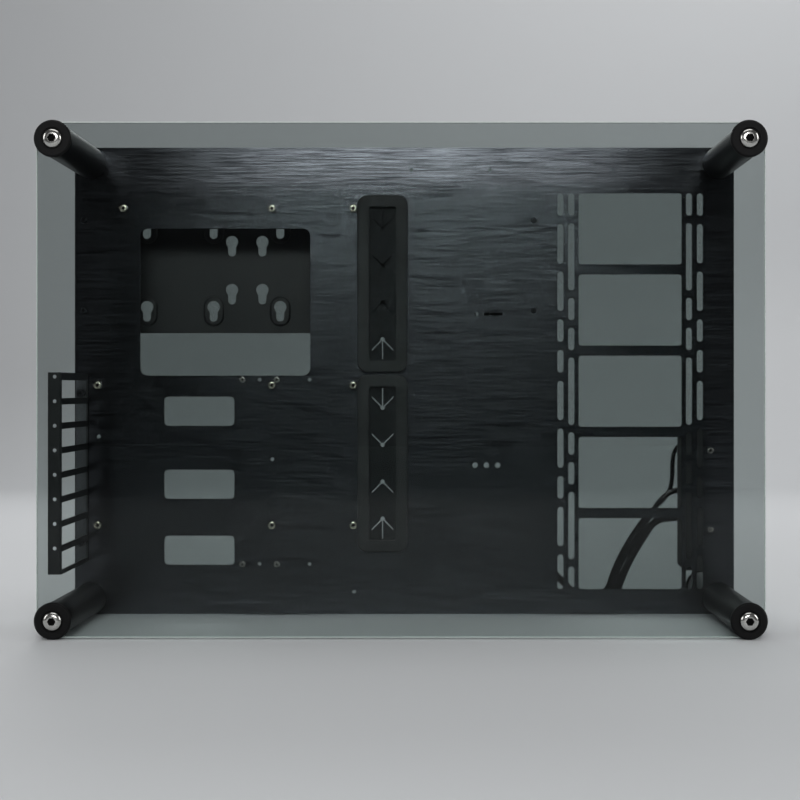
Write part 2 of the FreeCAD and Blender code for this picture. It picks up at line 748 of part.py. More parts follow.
def glass_fixings(side, ring_y, gasket_y, way):
    """Rings, gaskets and bolts of one sheet of glass; way is the sign of the direction inwards."""
    outer = "Sizes.ring_diameter / 2"
    hole, bevel, thick = f"{STUD_HOLE} / 2", "Sizes.ring_edge_chamfer", "Sizes.ring_thickness"
    recess, seat = "Sizes.bolt_head_diameter / 2 + Sizes.ring_recess_clearance", "Sizes.ring_recess_depth"
    head, proud = "Sizes.bolt_head_diameter / 2", "(Sizes.ring_recess_depth - Sizes.bolt_head_height)"
    shank, tip = "Sizes.stud_diameter / 2", f"(Sizes.ring_thickness + {CLAMP} + Sizes.stud_grip)"
    rings, gaskets, bolts = [], [], []
    for corner, (x, z) in CORNERS.items():
        ring, _ = turned(f"{side}_ring_{corner}", x, ring_y, z, [
            (hole, f"{way} * {seat}"), (recess, f"{way} * {seat}"), (recess, "0"),
            (f"{outer} - {bevel}", "0"), (outer, f"{way} * {bevel}"),
            (outer, f"{way} * {thick}"), (hole, f"{way} * {thick}"),
        ])
        rings.append(ring)
        gasket, _ = turned(f"{side}_gasket_{corner}", x, gasket_y, z, [
            ("Sizes.stud_diameter / 2 + Sizes.glass_hole_clearance", "0"),
            ("Sizes.gasket_diameter / 2", "0"),
            ("Sizes.gasket_diameter / 2", f"{way} * Sizes.gasket_thickness"),
            ("Sizes.stud_diameter / 2 + Sizes.glass_hole_clearance", f"{way} * Sizes.gasket_thickness"),
        ])
        gaskets.append(gasket)
        bolt, blank = turned(f"{side}_bolt_{corner}", x, ring_y, z, [
            ("0", f"{way} * {proud}"), (head, f"{way} * {proud}"), (head, f"{way} * {seat}"),
            (shank, f"{way} * {seat}"), (shank, f"{way} * {tip}"), ("0", f"{way} * {tip}"),
        ])
        dress(bolt, "Fillet", blank, flat_edges(blank, f"{way} * {proud}"), "Sizes.bolt_head_rounding")
        socket = sketch(bolt, "XZ_Plane", f"-({way} * {proud})")
        hexagon(socket, "Sizes.bolt_socket_width")
        cut(bolt, socket, "Sizes.bolt_socket_depth", reverse=way < 0)
        bolts.append(bolt)
    nodes.append(together(f"{side}_bumper_rings", rings))
    nodes.append(together(f"{side}_glass_gaskets", gaskets))
    nodes.append(together(f"{side}_glass_bolts", bolts))


glass_fixings("front", FRONT_RING, FRONT_GASKET, 1)
glass_fixings("rear", f"({REAR_RING} + Sizes.ring_thickness)", REAR_GLASS, -1)


# Motherboard standoffs

standoffs = []
for number, (x, z) in enumerate(STANDOFFS, start=1):
    standoff = body(f"standoff_{number}", x, TRAY, z)
    prism = sketch(standoff, "XZ_Plane")
    hexagon(prism, "Sizes.standoff_width")
    extrude(standoff, prism, "Sizes.standoff_height")
    stem = sketch(standoff, "XZ_Plane")
    circle(stem, "0", "0", "Sizes.standoff_stud")
    extrude(standoff, stem, "Sizes.tray_thickness", reverse=True)
    thread = sketch(standoff, "XZ_Plane", "Sizes.standoff_height")
    circle(thread, "0", "0", "Sizes.standoff_thread")
    cut(standoff, thread, "Sizes.standoff_thread_depth")
    standoffs.append(standoff)
nodes.append(together("motherboard_standoffs", standoffs))


# Cable grommets


def grommet(name, z):
    made = body(name, GROMMET_X, TRAY, z)
    width, height = "Sizes.grommet_width", "Sizes.grommet_height"
    rim = "Sizes.grommet_rim"
    lip = sketch(made, "XZ_Plane")
    rounded(lip, "0", "0", width, height, "Sizes.grommet_radius")
    front = extrude(made, lip, "Sizes.grommet_front_lip")
    dress(made, "Fillet", front, flat_edges(front, "-Sizes.grommet_front_lip"), "Sizes.grommet_lip_rounding")
    neck = sketch(made, "XZ_Plane")
    rounded(neck, "0", "0", f"({GROMMET_HOLE_WIDTH} - 2 * Sizes.grommet_fit)",
            f"({GROMMET_HOLE_HEIGHT} - 2 * Sizes.grommet_fit)",
            f"({GROMMET_HOLE_RADIUS} - Sizes.grommet_fit)")
    extrude(made, neck, "Sizes.tray_thickness", reverse=True)
    back = sketch(made, "XZ_Plane", "-Sizes.tray_thickness")
    rounded(back, "0", "0", width, height, "Sizes.grommet_radius")
    extrude(made, back, "Sizes.grommet_back_lip", reverse=True)
    recess_width, recess_height = f"({width} - 2 * {rim})", f"({height} - 2 * {rim})"
    well = sketch(made, "XZ_Plane", "Sizes.grommet_front_lip")
    rounded(well, "0", "0", recess_width, recess_height, "Sizes.membrane_radius")
    cut(made, well, "Sizes.grommet_front_lip")
    hollow = sketch(made, "XZ_Plane", "-Sizes.membrane_thickness")
    rounded(hollow, "0", "0", recess_width, recess_height, "Sizes.membrane_radius")
    cut(made, hollow)
    vertices = [(f"({place} * Sizes.slit_pitch)", way)
                for place, way in ((1.5, 1), (0.5, 1), (-0.5, -1), (-1.5, -1))]
    holes = sketch(made, "XZ_Plane")
    for level, _ in vertices:
        circle(holes, "0", level, "Sizes.slit_hole")
    cut(made, holes)
    half = "Sizes.slit_width / 2"
    slant = f"{half} * sqrt(2)"
    for side in (-1, 1):
        arms = sketch(made, "XZ_Plane")
        across = f"{side} * Sizes.slit_arm"
        for level, way in vertices:
            tip = f"{level} + {way} * Sizes.slit_arm"
            polygon(arms, [
                ("0", f"{level} - {slant}"), (across, f"{tip} - {slant}"),
                (across, f"{tip} + {slant}"), ("0", f"{level} + {slant}"),
            ])
        cut(made, arms)
    stems = sketch(made, "XZ_Plane")
    for level, way in (vertices[0], vertices[-1]):
        end = f"{way} * ({recess_height} / 2 - Sizes.slit_end)"
        rectangle(stems, f"-{half}", level, half, end)
    cut(made, stems)
    nodes.append(made)


for place, level in GROMMETS.items():
    grommet(f"{place}_cable_grommet", level)


# Expansion slot frame, a folded sheet with eight open slots

frame = body("expansion_slot_frame", y=f"{TRAY} - Sizes.slot_frame_reach", z=f"{FRAME_TOP} - {FRAME_HEIGHT}")
THIN, REACH = "Sizes.bracket_thickness", "Sizes.slot_frame_reach"
section = sketch(frame, "XY_Plane")
polygon(section, [
    (FRAME_EDGE, "0"), (FRAME_WALL, "0"), (FRAME_WALL, REACH), (FRAME_EDGE, REACH),
    (FRAME_EDGE, f"{REACH} - {THIN}"), (f"{FRAME_WALL} - {THIN}", f"{REACH} - {THIN}"),
    (f"{FRAME_WALL} - {THIN}", THIN), (FRAME_EDGE, THIN),
])
bend(frame, extrude(frame, section, FRAME_HEIGHT), "XY",
     [(FRAME_WALL, "0"), (FRAME_WALL, REACH)],
     [(f"{FRAME_WALL} - {THIN}", THIN), (f"{FRAME_WALL} - {THIN}", f"{REACH} - {THIN}")])
opening = sketch(frame, "YZ_Plane")
OPENING_TOP = f"({FRAME_HEIGHT} - Sizes.slot_first_opening - (Sizes.slot_count - 1) * Sizes.slot_pitch)"
rectangle(opening, "Sizes.slot_fold_margin", f"{OPENING_TOP} - Sizes.slot_opening",
          f"{REACH} - Sizes.slot_fold_margin", OPENING_TOP)
repeat(frame, cut(frame, opening), opening, "V_Axis", "Sizes.slot_pitch", "Sizes.slot_count")
tapped = sketch(frame, "XZ_Plane")
LOWEST_TAP = f"({FRAME_HEIGHT} - Sizes.slot_first_hole - (Sizes.slot_count - 1) * Sizes.slot_pitch)"
circle(tapped, f"({FRAME_WALL} + {FRAME_EDGE}) / 2", LOWEST_TAP, "Sizes.slot_screw_hole")
repeat(frame, cut(frame, tapped, THIN), tapped, "V_Axis", "Sizes.slot_pitch", "Sizes.slot_count")
feet = sketch(frame, "XZ_Plane", f"-({REACH} - {THIN})")
for x, z in THUMBS:
    circle(feet, x, f"{z} - {FRAME_TOP} + {FRAME_HEIGHT}",
           "Sizes.thumbscrew_shank + 2 * Sizes.hole_clearance")
cut(frame, feet, THIN)
nodes.append(frame)

thumbscrews = []
for number, (x, z) in enumerate(THUMBS, start=1):
    head, waist, shank = (f"Sizes.thumbscrew_{size} / 2" for size in ("head", "waist", "shank"))
    neck, crown = "Sizes.thumbscrew_waist_height", "Sizes.thumbscrew_height"
    thumbscrew, _ = turned(f"thumbscrew_{number}", x, f"{TRAY} - {THIN}", z, [
        ("0", f"-{crown}"), (head, f"-{crown}"), (head, f"-{neck}"), (waist, f"-{neck}"), (waist, "0"),
        (shank, "0"), (shank, f"{THIN} + Sizes.tray_thickness"), ("0", f"{THIN} + Sizes.tray_thickness"),
    ])
    thumbscrews.append(thumbscrew)
nodes.append(together("slot_frame_thumbscrews", thumbscrews))


# Small screws that hold the brackets behind the tray


def tray_screws(name, places):
    head, shank, rise = "Sizes.screw_head / 2", "Sizes.screw_diameter / 2", "Sizes.screw_head_height"
    tail = f"Sizes.tray_thickness + {THIN} + Sizes.screw_tail"
    screws = []
    for number, (x, z) in enumerate(places, start=1):
        screw, blank = turned(f"{name}_{number}", x, TRAY, z, [
            ("0", f"-{rise}"), (head, f"-{rise}"), (head, "0"), (shank, "0"), (shank, tail), ("0", tail),
        ])
        dress(screw, "Fillet", blank, flat_edges(blank, f"-{rise}"), "Sizes.screw_rounding")
        screws.append(screw)
    nodes.append(together(name, screws))


# Drive bracket, a hat section with keyholes for three bays

drive = body("drive_bracket", DRIVE_X, BACK, f"{DRIVE_Z} - Sizes.drive_plate_height / 2")
SIDE, DEPTH = "Sizes.drive_plate_width / 2", "Sizes.drive_depth"
EDGE = f"({SIDE} + Sizes.drive_flange)"
hat = sketch(drive, "XY_Plane")
polygon(hat, [
    (f"-{EDGE}", "0"), (f"-({SIDE} - {THIN})", "0"), (f"-({SIDE} - {THIN})", DEPTH),
    (f"{SIDE} - {THIN}", DEPTH), (f"{SIDE} - {THIN}", "0"),
    (EDGE, "0"), (EDGE, THIN), (SIDE, THIN), (SIDE, f"{DEPTH} + {THIN}"),
    (f"-({SIDE})", f"{DEPTH} + {THIN}"), (f"-({SIDE})", THIN), (f"-{EDGE}", THIN),
])
bend(drive, extrude(drive, hat, "Sizes.drive_plate_height"), "XY",
     [(f"{way} * ({SIDE} - {THIN})", "0") for way in (-1, 1)]
     + [(f"{way} * {SIDE}", f"{DEPTH} + {THIN}") for way in (-1, 1)],
     [(f"{way} * {SIDE}", THIN) for way in (-1, 1)]
     + [(f"{way} * ({SIDE} - {THIN})", DEPTH) for way in (-1, 1)])
flange_holes = sketch(drive, "XZ_Plane")
for x, z in DRIVE_SCREWS:
    circle(flange_holes, f"{x} - {DRIVE_X}", f"{z} - {DRIVE_Z} + Sizes.drive_plate_height / 2", SCREW_TAP)
cut(drive, flange_holes, THIN)
FIRST_BAY = "(-(Sizes.bay_count - 1) / 2 * Sizes.bay_pitch)"
HALF_HEIGHT = "Sizes.drive_plate_height / 2"


def bay_places(drive_size):
    return [(f"({FIRST_BAY} {side} Sizes.{drive_size}_drive_span / 2)",
             f"({HALF_HEIGHT} {way} Sizes.{drive_size}_drive_length / 2)") for side in "-+" for way in "-+"]


bosses = sketch(drive, "XZ_Plane", f"-({DEPTH})")
for x, z in bay_places("small"):
    low, high = f"({z} - Sizes.boss_height / 2)", f"({z} + Sizes.boss_height / 2)"
    upright_slot(bosses, x, low, high, "Sizes.boss_width")
raised = repeat(drive, extrude(drive, bosses, "Sizes.boss_rise"), bosses, "H_Axis",
                "Sizes.bay_pitch", "Sizes.bay_count")
dress(drive, "Fillet", raised, flat_edges(raised, f"{DEPTH} - Sizes.boss_rise"), "Sizes.boss_rounding")
dimples = sketch(drive, "XZ_Plane", f"-({DEPTH} + {THIN})")
for x, z in bay_places("small"):
    inner = f"(Sizes.boss_height / 2 - {THIN})"
    upright_slot(dimples, x, f"({z} - {inner})", f"({z} + {inner})", f"(Sizes.boss_width - 2 * {THIN})")
pressed = repeat(drive, cut(drive, dimples, "Sizes.boss_rise", reverse=True), dimples, "H_Axis",
                 "Sizes.bay_pitch", "Sizes.bay_count")
dress(drive, "Fillet", pressed, flat_edges(pressed, f"{DEPTH} + {THIN} - Sizes.boss_rise"),
      f"Sizes.boss_rounding - {THIN}")
HEAD_LIFT = "(Sizes.keyhole_drop / 2 + (Sizes.keyhole_neck - Sizes.keyhole_head) / 4)"
heads, necks = sketch(drive, "XZ_Plane"), sketch(drive, "XZ_Plane")
for x, z in bay_places("small") + bay_places("large"):
    head = f"({z} + {HEAD_LIFT})"
    circle(heads, x, head, "Sizes.keyhole_head")
    foot = f"({head} - Sizes.keyhole_drop - Sizes.keyhole_neck / 2)"
    upright_slot(necks, x, foot, head, "Sizes.keyhole_neck")
for keyholes in (heads, necks):
    repeat(drive, cut(drive, keyholes), keyholes, "H_Axis", "Sizes.bay_pitch", "Sizes.bay_count")
mark = sketch(drive, "XZ_Plane", f"-({DEPTH})")
MARK_MIDDLE = f"({FIRST_BAY} - Sizes.grip_mark_shift)"
rectangle(mark, f"{MARK_MIDDLE} - Sizes.grip_mark_width / 2", "Sizes.grip_mark_rise",
          f"{MARK_MIDDLE} + Sizes.grip_mark_width / 2", "Sizes.grip_mark_rise + Sizes.grip_mark_height")
cut(drive, mark, "Sizes.grip_mark_depth")
nodes.append(drive)
tray_screws("drive_bracket_screws", DRIVE_SCREWS)


# Power supply bracket, an open frame that the supply's end is screwed to

supply = body("supply_bracket", SUPPLY_X, BACK, SUPPLY_Z)
end_plate = sketch(supply, "YZ_Plane")
rectangle(end_plate, "0", f"-{SUPPLY_OUTSIDE}", "Sizes.supply_depth", SUPPLY_OUTSIDE)
extrude(supply, end_plate, THIN)
walls = sketch(supply, "YZ_Plane")
FLANGE_END = f"({SUPPLY_OUTSIDE} + Sizes.supply_flange)"
for way in (-1, 1):
    polygon(walls, [
        ("0", f"{way} * {SUPPLY_INSIDE}"), ("Sizes.supply_depth", f"{way} * {SUPPLY_INSIDE}"),
        ("Sizes.supply_depth", f"{way} * {SUPPLY_OUTSIDE}"), (THIN, f"{way} * {SUPPLY_OUTSIDE}"),
        (THIN, f"{way} * {FLANGE_END}"), ("0", f"{way} * {FLANGE_END}"),
    ])
bend(supply, extrude(supply, walls, "Sizes.supply_length"), "YZ",
     [("0", f"{way} * {SUPPLY_INSIDE}") for way in (-1, 1)],
     [(THIN, f"{way} * {SUPPLY_OUTSIDE}") for way in (-1, 1)])
supply_window = sketch(supply, "YZ_Plane")
rounded(supply_window, "Sizes.supply_depth / 2", "0", "(Sizes.supply_depth - 2 * Sizes.supply_frame)",
        f"({SUPPLY_WIDTH} - 2 * Sizes.supply_frame)", "Sizes.supply_window_radius")
cut(supply, supply_window, THIN, reverse=True)
supply_screws = sketch(supply, "YZ_Plane")
FIRST_SCREW = "(Sizes.supply_screw_span / 2)"
SCREW_LINE = "(Sizes.supply_depth - Sizes.supply_screw_edge)"
circle(supply_screws, SCREW_LINE, FIRST_SCREW, "Sizes.supply_screw_hole")
circle(supply_screws, SCREW_LINE, f"({FIRST_SCREW} - Sizes.supply_screw_span)", "Sizes.supply_screw_hole")
circle(supply_screws, f"({SCREW_LINE} - Sizes.supply_screw_drop)", FIRST_SCREW, "Sizes.supply_screw_hole")
circle(supply_screws, f"({SCREW_LINE} - Sizes.supply_screw_low)",
       f"({FIRST_SCREW} - Sizes.supply_screw_inner)", "Sizes.supply_screw_hole")
cut(supply, supply_screws, THIN, reverse=True)
supply_feet = sketch(supply, "XZ_Plane")
for x, z in SUPPLY_HOLES:
    circle(supply_feet, f"{x} - {SUPPLY_X}", f"{z} - {SUPPLY_Z}", SCREW_TAP)
cut(supply, supply_feet, THIN)
nodes.append(supply)
tray_screws("supply_bracket_screws", [SUPPLY_HOLES[0], SUPPLY_HOLES[2], SUPPLY_HOLES[4], SUPPLY_HOLES[6]])


# Front panel bracket with its board, sockets, buttons and lamp

port = body("port_bracket", PORT_RIGHT, BACK, PORT_LOW)
channel = sketch(port, "XY_Plane")
WIDE, DEEP, LIP = "Sizes.port_width", "Sizes.port_depth", "Sizes.port_lip"
polygon(channel, [
    (f"-{WIDE}", "0"), ("0", "0"), ("0", DEEP), (f"-{LIP}", DEEP), (f"-{LIP}", f"{DEEP} - {THIN}"),
    (f"-{THIN}", f"{DEEP} - {THIN}"), (f"-{THIN}", THIN), (f"-{WIDE}", THIN),
])
bend(port, extrude(port, channel, "Sizes.port_height"), "XY",
     [("0", "0"), ("0", DEEP)], [(f"-{THIN}", THIN), (f"-{THIN}", f"{DEEP} - {THIN}")])
corners = sketch(port, "XZ_Plane")
CORNER = "Sizes.port_corner"
polygon(corners, [(f"-{WIDE}", "0"), (f"-{WIDE} + {CORNER}", "0"), (f"-{WIDE}", CORNER)])
polygon(corners, [(f"-{WIDE}", "Sizes.port_height"), (f"-{WIDE}", f"Sizes.port_height - {CORNER}"),
                  (f"-{WIDE} + {CORNER}", "Sizes.port_height")])
cut(port, corners, THIN)
base_holes = sketch(port, "XZ_Plane")
for x, z in PORT_SCREWS:
    circle(base_holes, f"{x} - {PORT_RIGHT}", f"{z} - {PORT_LOW}", SCREW_TAP)
cut(port, base_holes, THIN)
face_holes = sketch(port, "YZ_Plane")
for rise in ("usb_low_rise", "usb_high_rise"):
    across, along = "(Sizes.usb_height / 2 + Sizes.fit_gap)", "(Sizes.usb_width / 2 + Sizes.fit_gap)"
    rectangle(face_holes, f"{USB_Y} - {BACK} - {across}", f"Sizes.{rise} - {along}",
              f"{USB_Y} - {BACK} + {across}", f"Sizes.{rise} + {along}")
for rise in ("jack_low_rise", "jack_high_rise"):
    circle(face_holes, f"{JACK_Y} - {BACK}", f"Sizes.{rise}", "Sizes.jack_nose + 2 * Sizes.fit_gap")
for kind in ("power", "reset", "lamp"):
    wide = f"Sizes.{kind}_diameter + 2 * Sizes.fit_gap"
    circle(face_holes, f"{CONTROL_Y} - {BACK}", f"Sizes.{kind}_rise", wide)
cut(port, face_holes, THIN)
nodes.append(port)
tray_screws("port_bracket_screws", PORT_SCREWS)

board = body("port_circuit_board", BOARD_LEFT, BOARD_FRONT, f"{PORT_MIDDLE} - Sizes.circuit_length / 2")
board_outline = sketch(board, "XZ_Plane")
rectangle(board_outline, "0", "0", "Sizes.circuit_width", "Sizes.circuit_length")
extrude(board, board_outline, "Sizes.circuit_thickness", reverse=True)
nodes.append(board)

spacers = []
for x in (f"{BOARD_LEFT} + Sizes.spacer_inset", f"{BOARD_RIGHT} - Sizes.spacer_inset"):
    for way in "-+":
        z = f"{PORT_MIDDLE} {way} (Sizes.circuit_length / 2 - Sizes.spacer_inset)"
        spacer = body(f"spacer_{len(spacers)}", x, f"{BACK} + {THIN}", z)
        disc = sketch(spacer, "XZ_Plane")
        circle(disc, "0", "0", "Sizes.spacer_diameter")
        extrude(spacer, disc, "Sizes.circuit_gap", reverse=True)
        spacers.append(spacer)
nodes.append(together("circuit_board_spacers", spacers))


def usb_socket(name, rise):
    made = body(name, PORT_RIGHT, USB_Y, f"{PORT_LOW} + Sizes.{rise}")
    across, along = "Sizes.usb_height / 2", "Sizes.usb_width / 2"
    shell = sketch(made, "YZ_Plane")
    rectangle(shell, f"-{across}", f"-{along}", across, along)
    extrude(made, shell, "Sizes.usb_length", reverse=True)
    mouth = sketch(made, "YZ_Plane")
    wall, tongue = "Sizes.usb_shell", "Sizes.usb_tongue"
    rectangle(mouth, f"-{across} + {wall}", f"-{along} + {wall}", f"{across} - {wall}", f"{along} - {wall}")
    gap = "Sizes.usb_tongue_gap"
    rectangle(mouth, f"-{across} + {wall} + {gap}", f"-{along} + {wall} + {gap}",
              f"-{across} + {wall} + {gap} + {tongue}", f"{along} - {wall} - {gap}")
    cut(made, mouth, "Sizes.usb_depth")
    nodes.append(made)


usb_socket("lower_usb_socket", "usb_low_rise")
usb_socket("upper_usb_socket", "usb_high_rise")


def audio_jack(name, rise):
    made = body(name, FACE_IN, JACK_Y, f"{PORT_LOW} + Sizes.{rise}")
    half = "Sizes.jack_body / 2"
    block = sketch(made, "YZ_Plane")
    rectangle(block, f"-{half}", f"-{half}", half, half)
    extrude(made, block, "Sizes.jack_length", reverse=True)
    nose = sketch(made, "YZ_Plane")
    circle(nose, "0", "0", "Sizes.jack_nose")
    extrude(made, nose, THIN)
    bore = sketch(made, "YZ_Plane", THIN)
    circle(bore, "0", "0", "Sizes.jack_bore")
    cut(made, bore, "Sizes.jack_bore_depth")
    nodes.append(made)


audio_jack("microphone_jack", "jack_low_rise")
audio_jack("headphone_jack", "jack_high_rise")


def push_button(kind):
    """A button turned about X, with a flange behind the bracket and a stem towards its switch."""
    made = body(f"{kind}_button", FACE_IN, CONTROL_Y, f"{PORT_LOW} + Sizes.{kind}_rise")
    cap, edge, out = f"Sizes.{kind}_diameter / 2", "Sizes.button_edge", f"{THIN} + Sizes.button_out"
    flange, seat = f"Sizes.{kind}_diameter / 2 + Sizes.button_flange", "-Sizes.button_seat_gap"
    back, stem = f"({seat} - Sizes.button_flange_thickness)", "Sizes.button_stem / 2"
    profile = sketch(made, "XY_Plane")
    polygon(profile, [
        (f"{back} - Sizes.button_stem_length", "0"), (out, "0"), (out, f"{cap} - {edge}"),
        (f"{out} - {edge}", cap), (seat, cap), (seat, flange), (back, flange), (back, stem),
        (f"{back} - Sizes.button_stem_length", stem),
    ])
    turn(made, profile, "H_Axis")
    nodes.append(made)
    reach = f"({back} - Sizes.button_stem_length - Sizes.button_travel - Sizes.fit_gap)"
    switch = body(f"{kind}_switch", f"{FACE_IN} + {reach}", BOARD_BACK, f"{PORT_LOW} + Sizes.{kind}_rise")
    half = "Sizes.switch_width / 2"
    block = sketch(switch, "YZ_Plane", "-Sizes.switch_pin_length")
    rectangle(block, "0", f"-{half}", "Sizes.control_height + Sizes.switch_top", half)
    extrude(switch, block, "Sizes.switch_length", reverse=True)
    tip = sketch(switch, "YZ_Plane")
    circle(tip, "Sizes.control_height", "0", "Sizes.switch_pin")
    extrude(switch, tip, "Sizes.switch_pin_length", reverse=True)
    nodes.append(switch)


push_button("power")
push_button("reset")

lamp = body("power_lamp", FACE_IN, BOARD_BACK, f"{PORT_LOW} + Sizes.lamp_rise")
holder = sketch(lamp, "YZ_Plane", "-Sizes.fit_gap")
HALF_HOLDER = "Sizes.lamp_holder_width / 2"
rectangle(holder, "0", f"-{HALF_HOLDER}", f"Sizes.control_height + {HALF_HOLDER}", HALF_HOLDER)
extrude(lamp, holder, "Sizes.lamp_holder_length", reverse=True)
lens = sketch(lamp, "YZ_Plane", "-Sizes.fit_gap")
circle(lens, "Sizes.control_height", "0", "Sizes.lamp_diameter")
extrude(lamp, lens, f"Sizes.fit_gap + {THIN}")
nodes.append(lamp)


# Leads from the board to the motherboard, each in a plane of its own behind the tray

USB_LEAD_Y = f"({BOARD_BACK} + Sizes.socket_wall + Sizes.usb_lead / 2)"
AUDIO_LEAD_Y = f"({USB_LEAD_Y} + Sizes.usb_lead / 2 + Sizes.lead_gap + Sizes.audio_lead / 2)"
SWITCH_LEAD_Y = f"({AUDIO_LEAD_Y} + Sizes.audio_lead / 2 + Sizes.lead_gap + Sizes.switch_lead / 2)"

# Route points from the socket to the plug: distance left of the tray's right edge and height over its foot.
USB_ROUTE = [
    (38.5, 86), (53, 86), (67, 80.5), (83, 62), (92.5, 44.5), (98.6, 27.5), (101.9, 16.5), (110.1, 8.4),
    (121.2, 5.4), (132.3, 8), (142.7, 17.5), (155, 31), (168.5, 41), (182, 49.5), (191.5, 59.5), (195, 72),
    (195.3, 97), (194.8, 132), (195.2, 165), (195, 196), (201.6, 207.6), (213, 214), (226, 214.3),
    (237.2, 208), (243.8, 196), (244.2, 172), (243.9, 145), (244.1, 122),
]
AUDIO_ROUTE = [
    (38.5, 110), (50.5, 110), (63.5, 101.5), (75, 86), (87.5, 65), (97, 46), (103.2, 28), (105.6, 17.4),
    (112.8, 10), (122.6, 7), (133, 9.4), (143.8, 18.5), (156, 31.5), (169.5, 42), (182.5, 50.5),
    (191.8, 60.5), (195, 73), (195.3, 98), (194.8, 131), (195.2, 164), (195, 194), (201, 205.4),
    (212.5, 212), (226.5, 212.2), (238, 205.6), (243.9, 194), (244.2, 171), (244, 149),
]
SWITCH_ROUTE = [
    (31.5, 152), (42, 152), (49.5, 145.5), (51.5, 134.5), (51.3, 120), (54, 107), (63, 96.5), (76.5, 85.5),
    (91.4, 67.5), (102, 48.4), (108.6, 30), (111, 20.6), (117.4, 14), (126.4, 11.4), (135.8, 13.6),
    (145.6, 21.8), (157.2, 33), (170.5, 43.5), (183, 52), (192, 62), (195, 74), (195.3, 99), (194.8, 132),
    (195.2, 165), (195, 195), (201.2, 206.2), (212.8, 212.6), (226.4, 212.8), (237.9, 206.2), (243.9, 195),
    (244.1, 180), (244, 166),
]


ARC_SHARE = 0.45


def rounded_path(points, name):
    """Straight runs joined by arcs as large as the shorter run beside each turn allows."""
    edges, radii, start = [], [], points[0]
    for before, corner, after in zip(points, points[1:], points[2:]):
        back, ahead = before - corner, after - corner
        turning = math.pi - back.getAngle(ahead)
        cut_back = ARC_SHARE * min(back.Length, ahead.Length)
        radii.append(cut_back / math.tan(turning / 2))
        first = corner + back.normalize() * cut_back
        last = corner + ahead.normalize() * cut_back
        inward = (back + ahead).normalize()
        middle = corner + inward * (radii[-1] / math.cos(turning / 2) - radii[-1])
        edges += [Part.LineSegment(start, first).toShape(), Part.Arc(first, middle, last).toShape()]
        start = last
    edges.append(Part.LineSegment(start, points[-1]).toShape())
    path = Part.Wire(edges)
    print(f"{name}: {path.Length:.0f} mm long, tightest bend {min(radii):.1f} mm")
    return path


def lead(name, route, y, diameter):
    points = [Vector(value(f"{RIGHT} - {side}"), value(y), value(f"{BASE} + {rise}")) for side, rise in route]
    path = rounded_path(points, name)
    ring = Part.Wire(Part.makeCircle(value(diameter) / 2, points[0], points[1] - points[0]))
    made = doc.addObject("Part::Feature", name)
    made.Label = name
    made.Shape = path.makePipeShell([ring], True, False)
    true_volume = math.pi * (value(diameter) / 2) ** 2 * path.Length
    if abs(made.Shape.Volume - true_volume) > 0.01 * true_volume:
        raise RuntimeError(f"{name} has the wrong volume")
    nodes.append(made)


lead("usb_lead", USB_ROUTE, USB_LEAD_Y, "Sizes.usb_lead")
lead("audio_lead", AUDIO_ROUTE, AUDIO_LEAD_Y, "Sizes.audio_lead")
lead("switch_lead", SWITCH_ROUTE, SWITCH_LEAD_Y, "Sizes.switch_lead")


def block_on(made, plane, low, high, offset, length, reverse=False):
    profile = sketch(made, plane, offset)
    rectangle(profile, low[0], low[1], high[0], high[1])
    return extrude(made, profile, length, reverse)


LEADS = {
    "usb": (USB_ROUTE, USB_LEAD_Y),
    "audio": (AUDIO_ROUTE, AUDIO_LEAD_Y),
    "switch": (SWITCH_ROUTE, SWITCH_LEAD_Y),
}
for kind, (route, lead_y) in LEADS.items():
    side, rise = route[0]
    socket = body(f"{kind}_lead_socket", f"{RIGHT} - {side}", BOARD_BACK, f"{BASE} + {rise}")
    height = f"({lead_y} - {BOARD_BACK} + Sizes.{kind}_lead / 2 + Sizes.socket_wall)"
    half = "Sizes.socket_width / 2"
    block_on(socket, "YZ_Plane", ("0", f"-{half}"), (height, half), None, "Sizes.socket_length")
    nodes.append(socket)

for kind, (route, lead_y) in LEADS.items():
    side, rise = route[-1]
    last_side, last_rise = route[-2]
    plug = body(f"{kind}_header_plug", f"{RIGHT} - {side}", lead_y, f"{BASE} + {rise}")
    plug.Placement.Rotation = FreeCAD.Rotation(
        Vector(0, 1, 0), math.degrees(math.atan2(rise - last_rise, side - last_side)))
    across, along = f"Sizes.{kind}_plug_height / 2", f"Sizes.{kind}_plug_width / 2"
    block_on(plug, "YZ_Plane", (f"-{across}", f"-{along}"), (across, along), None,
             f"Sizes.{kind}_plug_length", reverse=True)
    nodes.append(plug)

clips = []
CLIP_IN = "(Sizes.usb_lead / 2 + Sizes.lead_gap)"
CLIP_OUT = f"({CLIP_IN} + Sizes.clip_wall)"
CLIP_TOP = f"({SWITCH_LEAD_Y} - {BACK} + Sizes.switch_lead / 2 + Sizes.lead_gap)"
for rise in ("clip_low_rise", "clip_high_rise"):
    clip = body(f"clip_{len(clips)}", f"{RIGHT} - Sizes.clip_side", BACK, f"{BASE} + Sizes.{rise}")
    strap = sketch(clip, "XY_Plane")
    foot, wall = f"({CLIP_OUT} + Sizes.clip_foot)", "Sizes.clip_wall"
    polygon(strap, [
        (f"-{foot}", "0"), (f"-{CLIP_IN}", "0"), (f"-{CLIP_IN}", CLIP_TOP),
        (CLIP_IN, CLIP_TOP), (CLIP_IN, "0"),
        (foot, "0"), (foot, wall), (CLIP_OUT, wall), (CLIP_OUT, f"{CLIP_TOP} + {wall}"),
        (f"-{CLIP_OUT}", f"{CLIP_TOP} + {wall}"), (f"-{CLIP_OUT}", wall), (f"-{foot}", wall),
    ])
    extrude(clip, strap, "Sizes.clip_length")
    clips.append(clip)
nodes.append(together("lead_clips", clips))


# Checks and STEP files

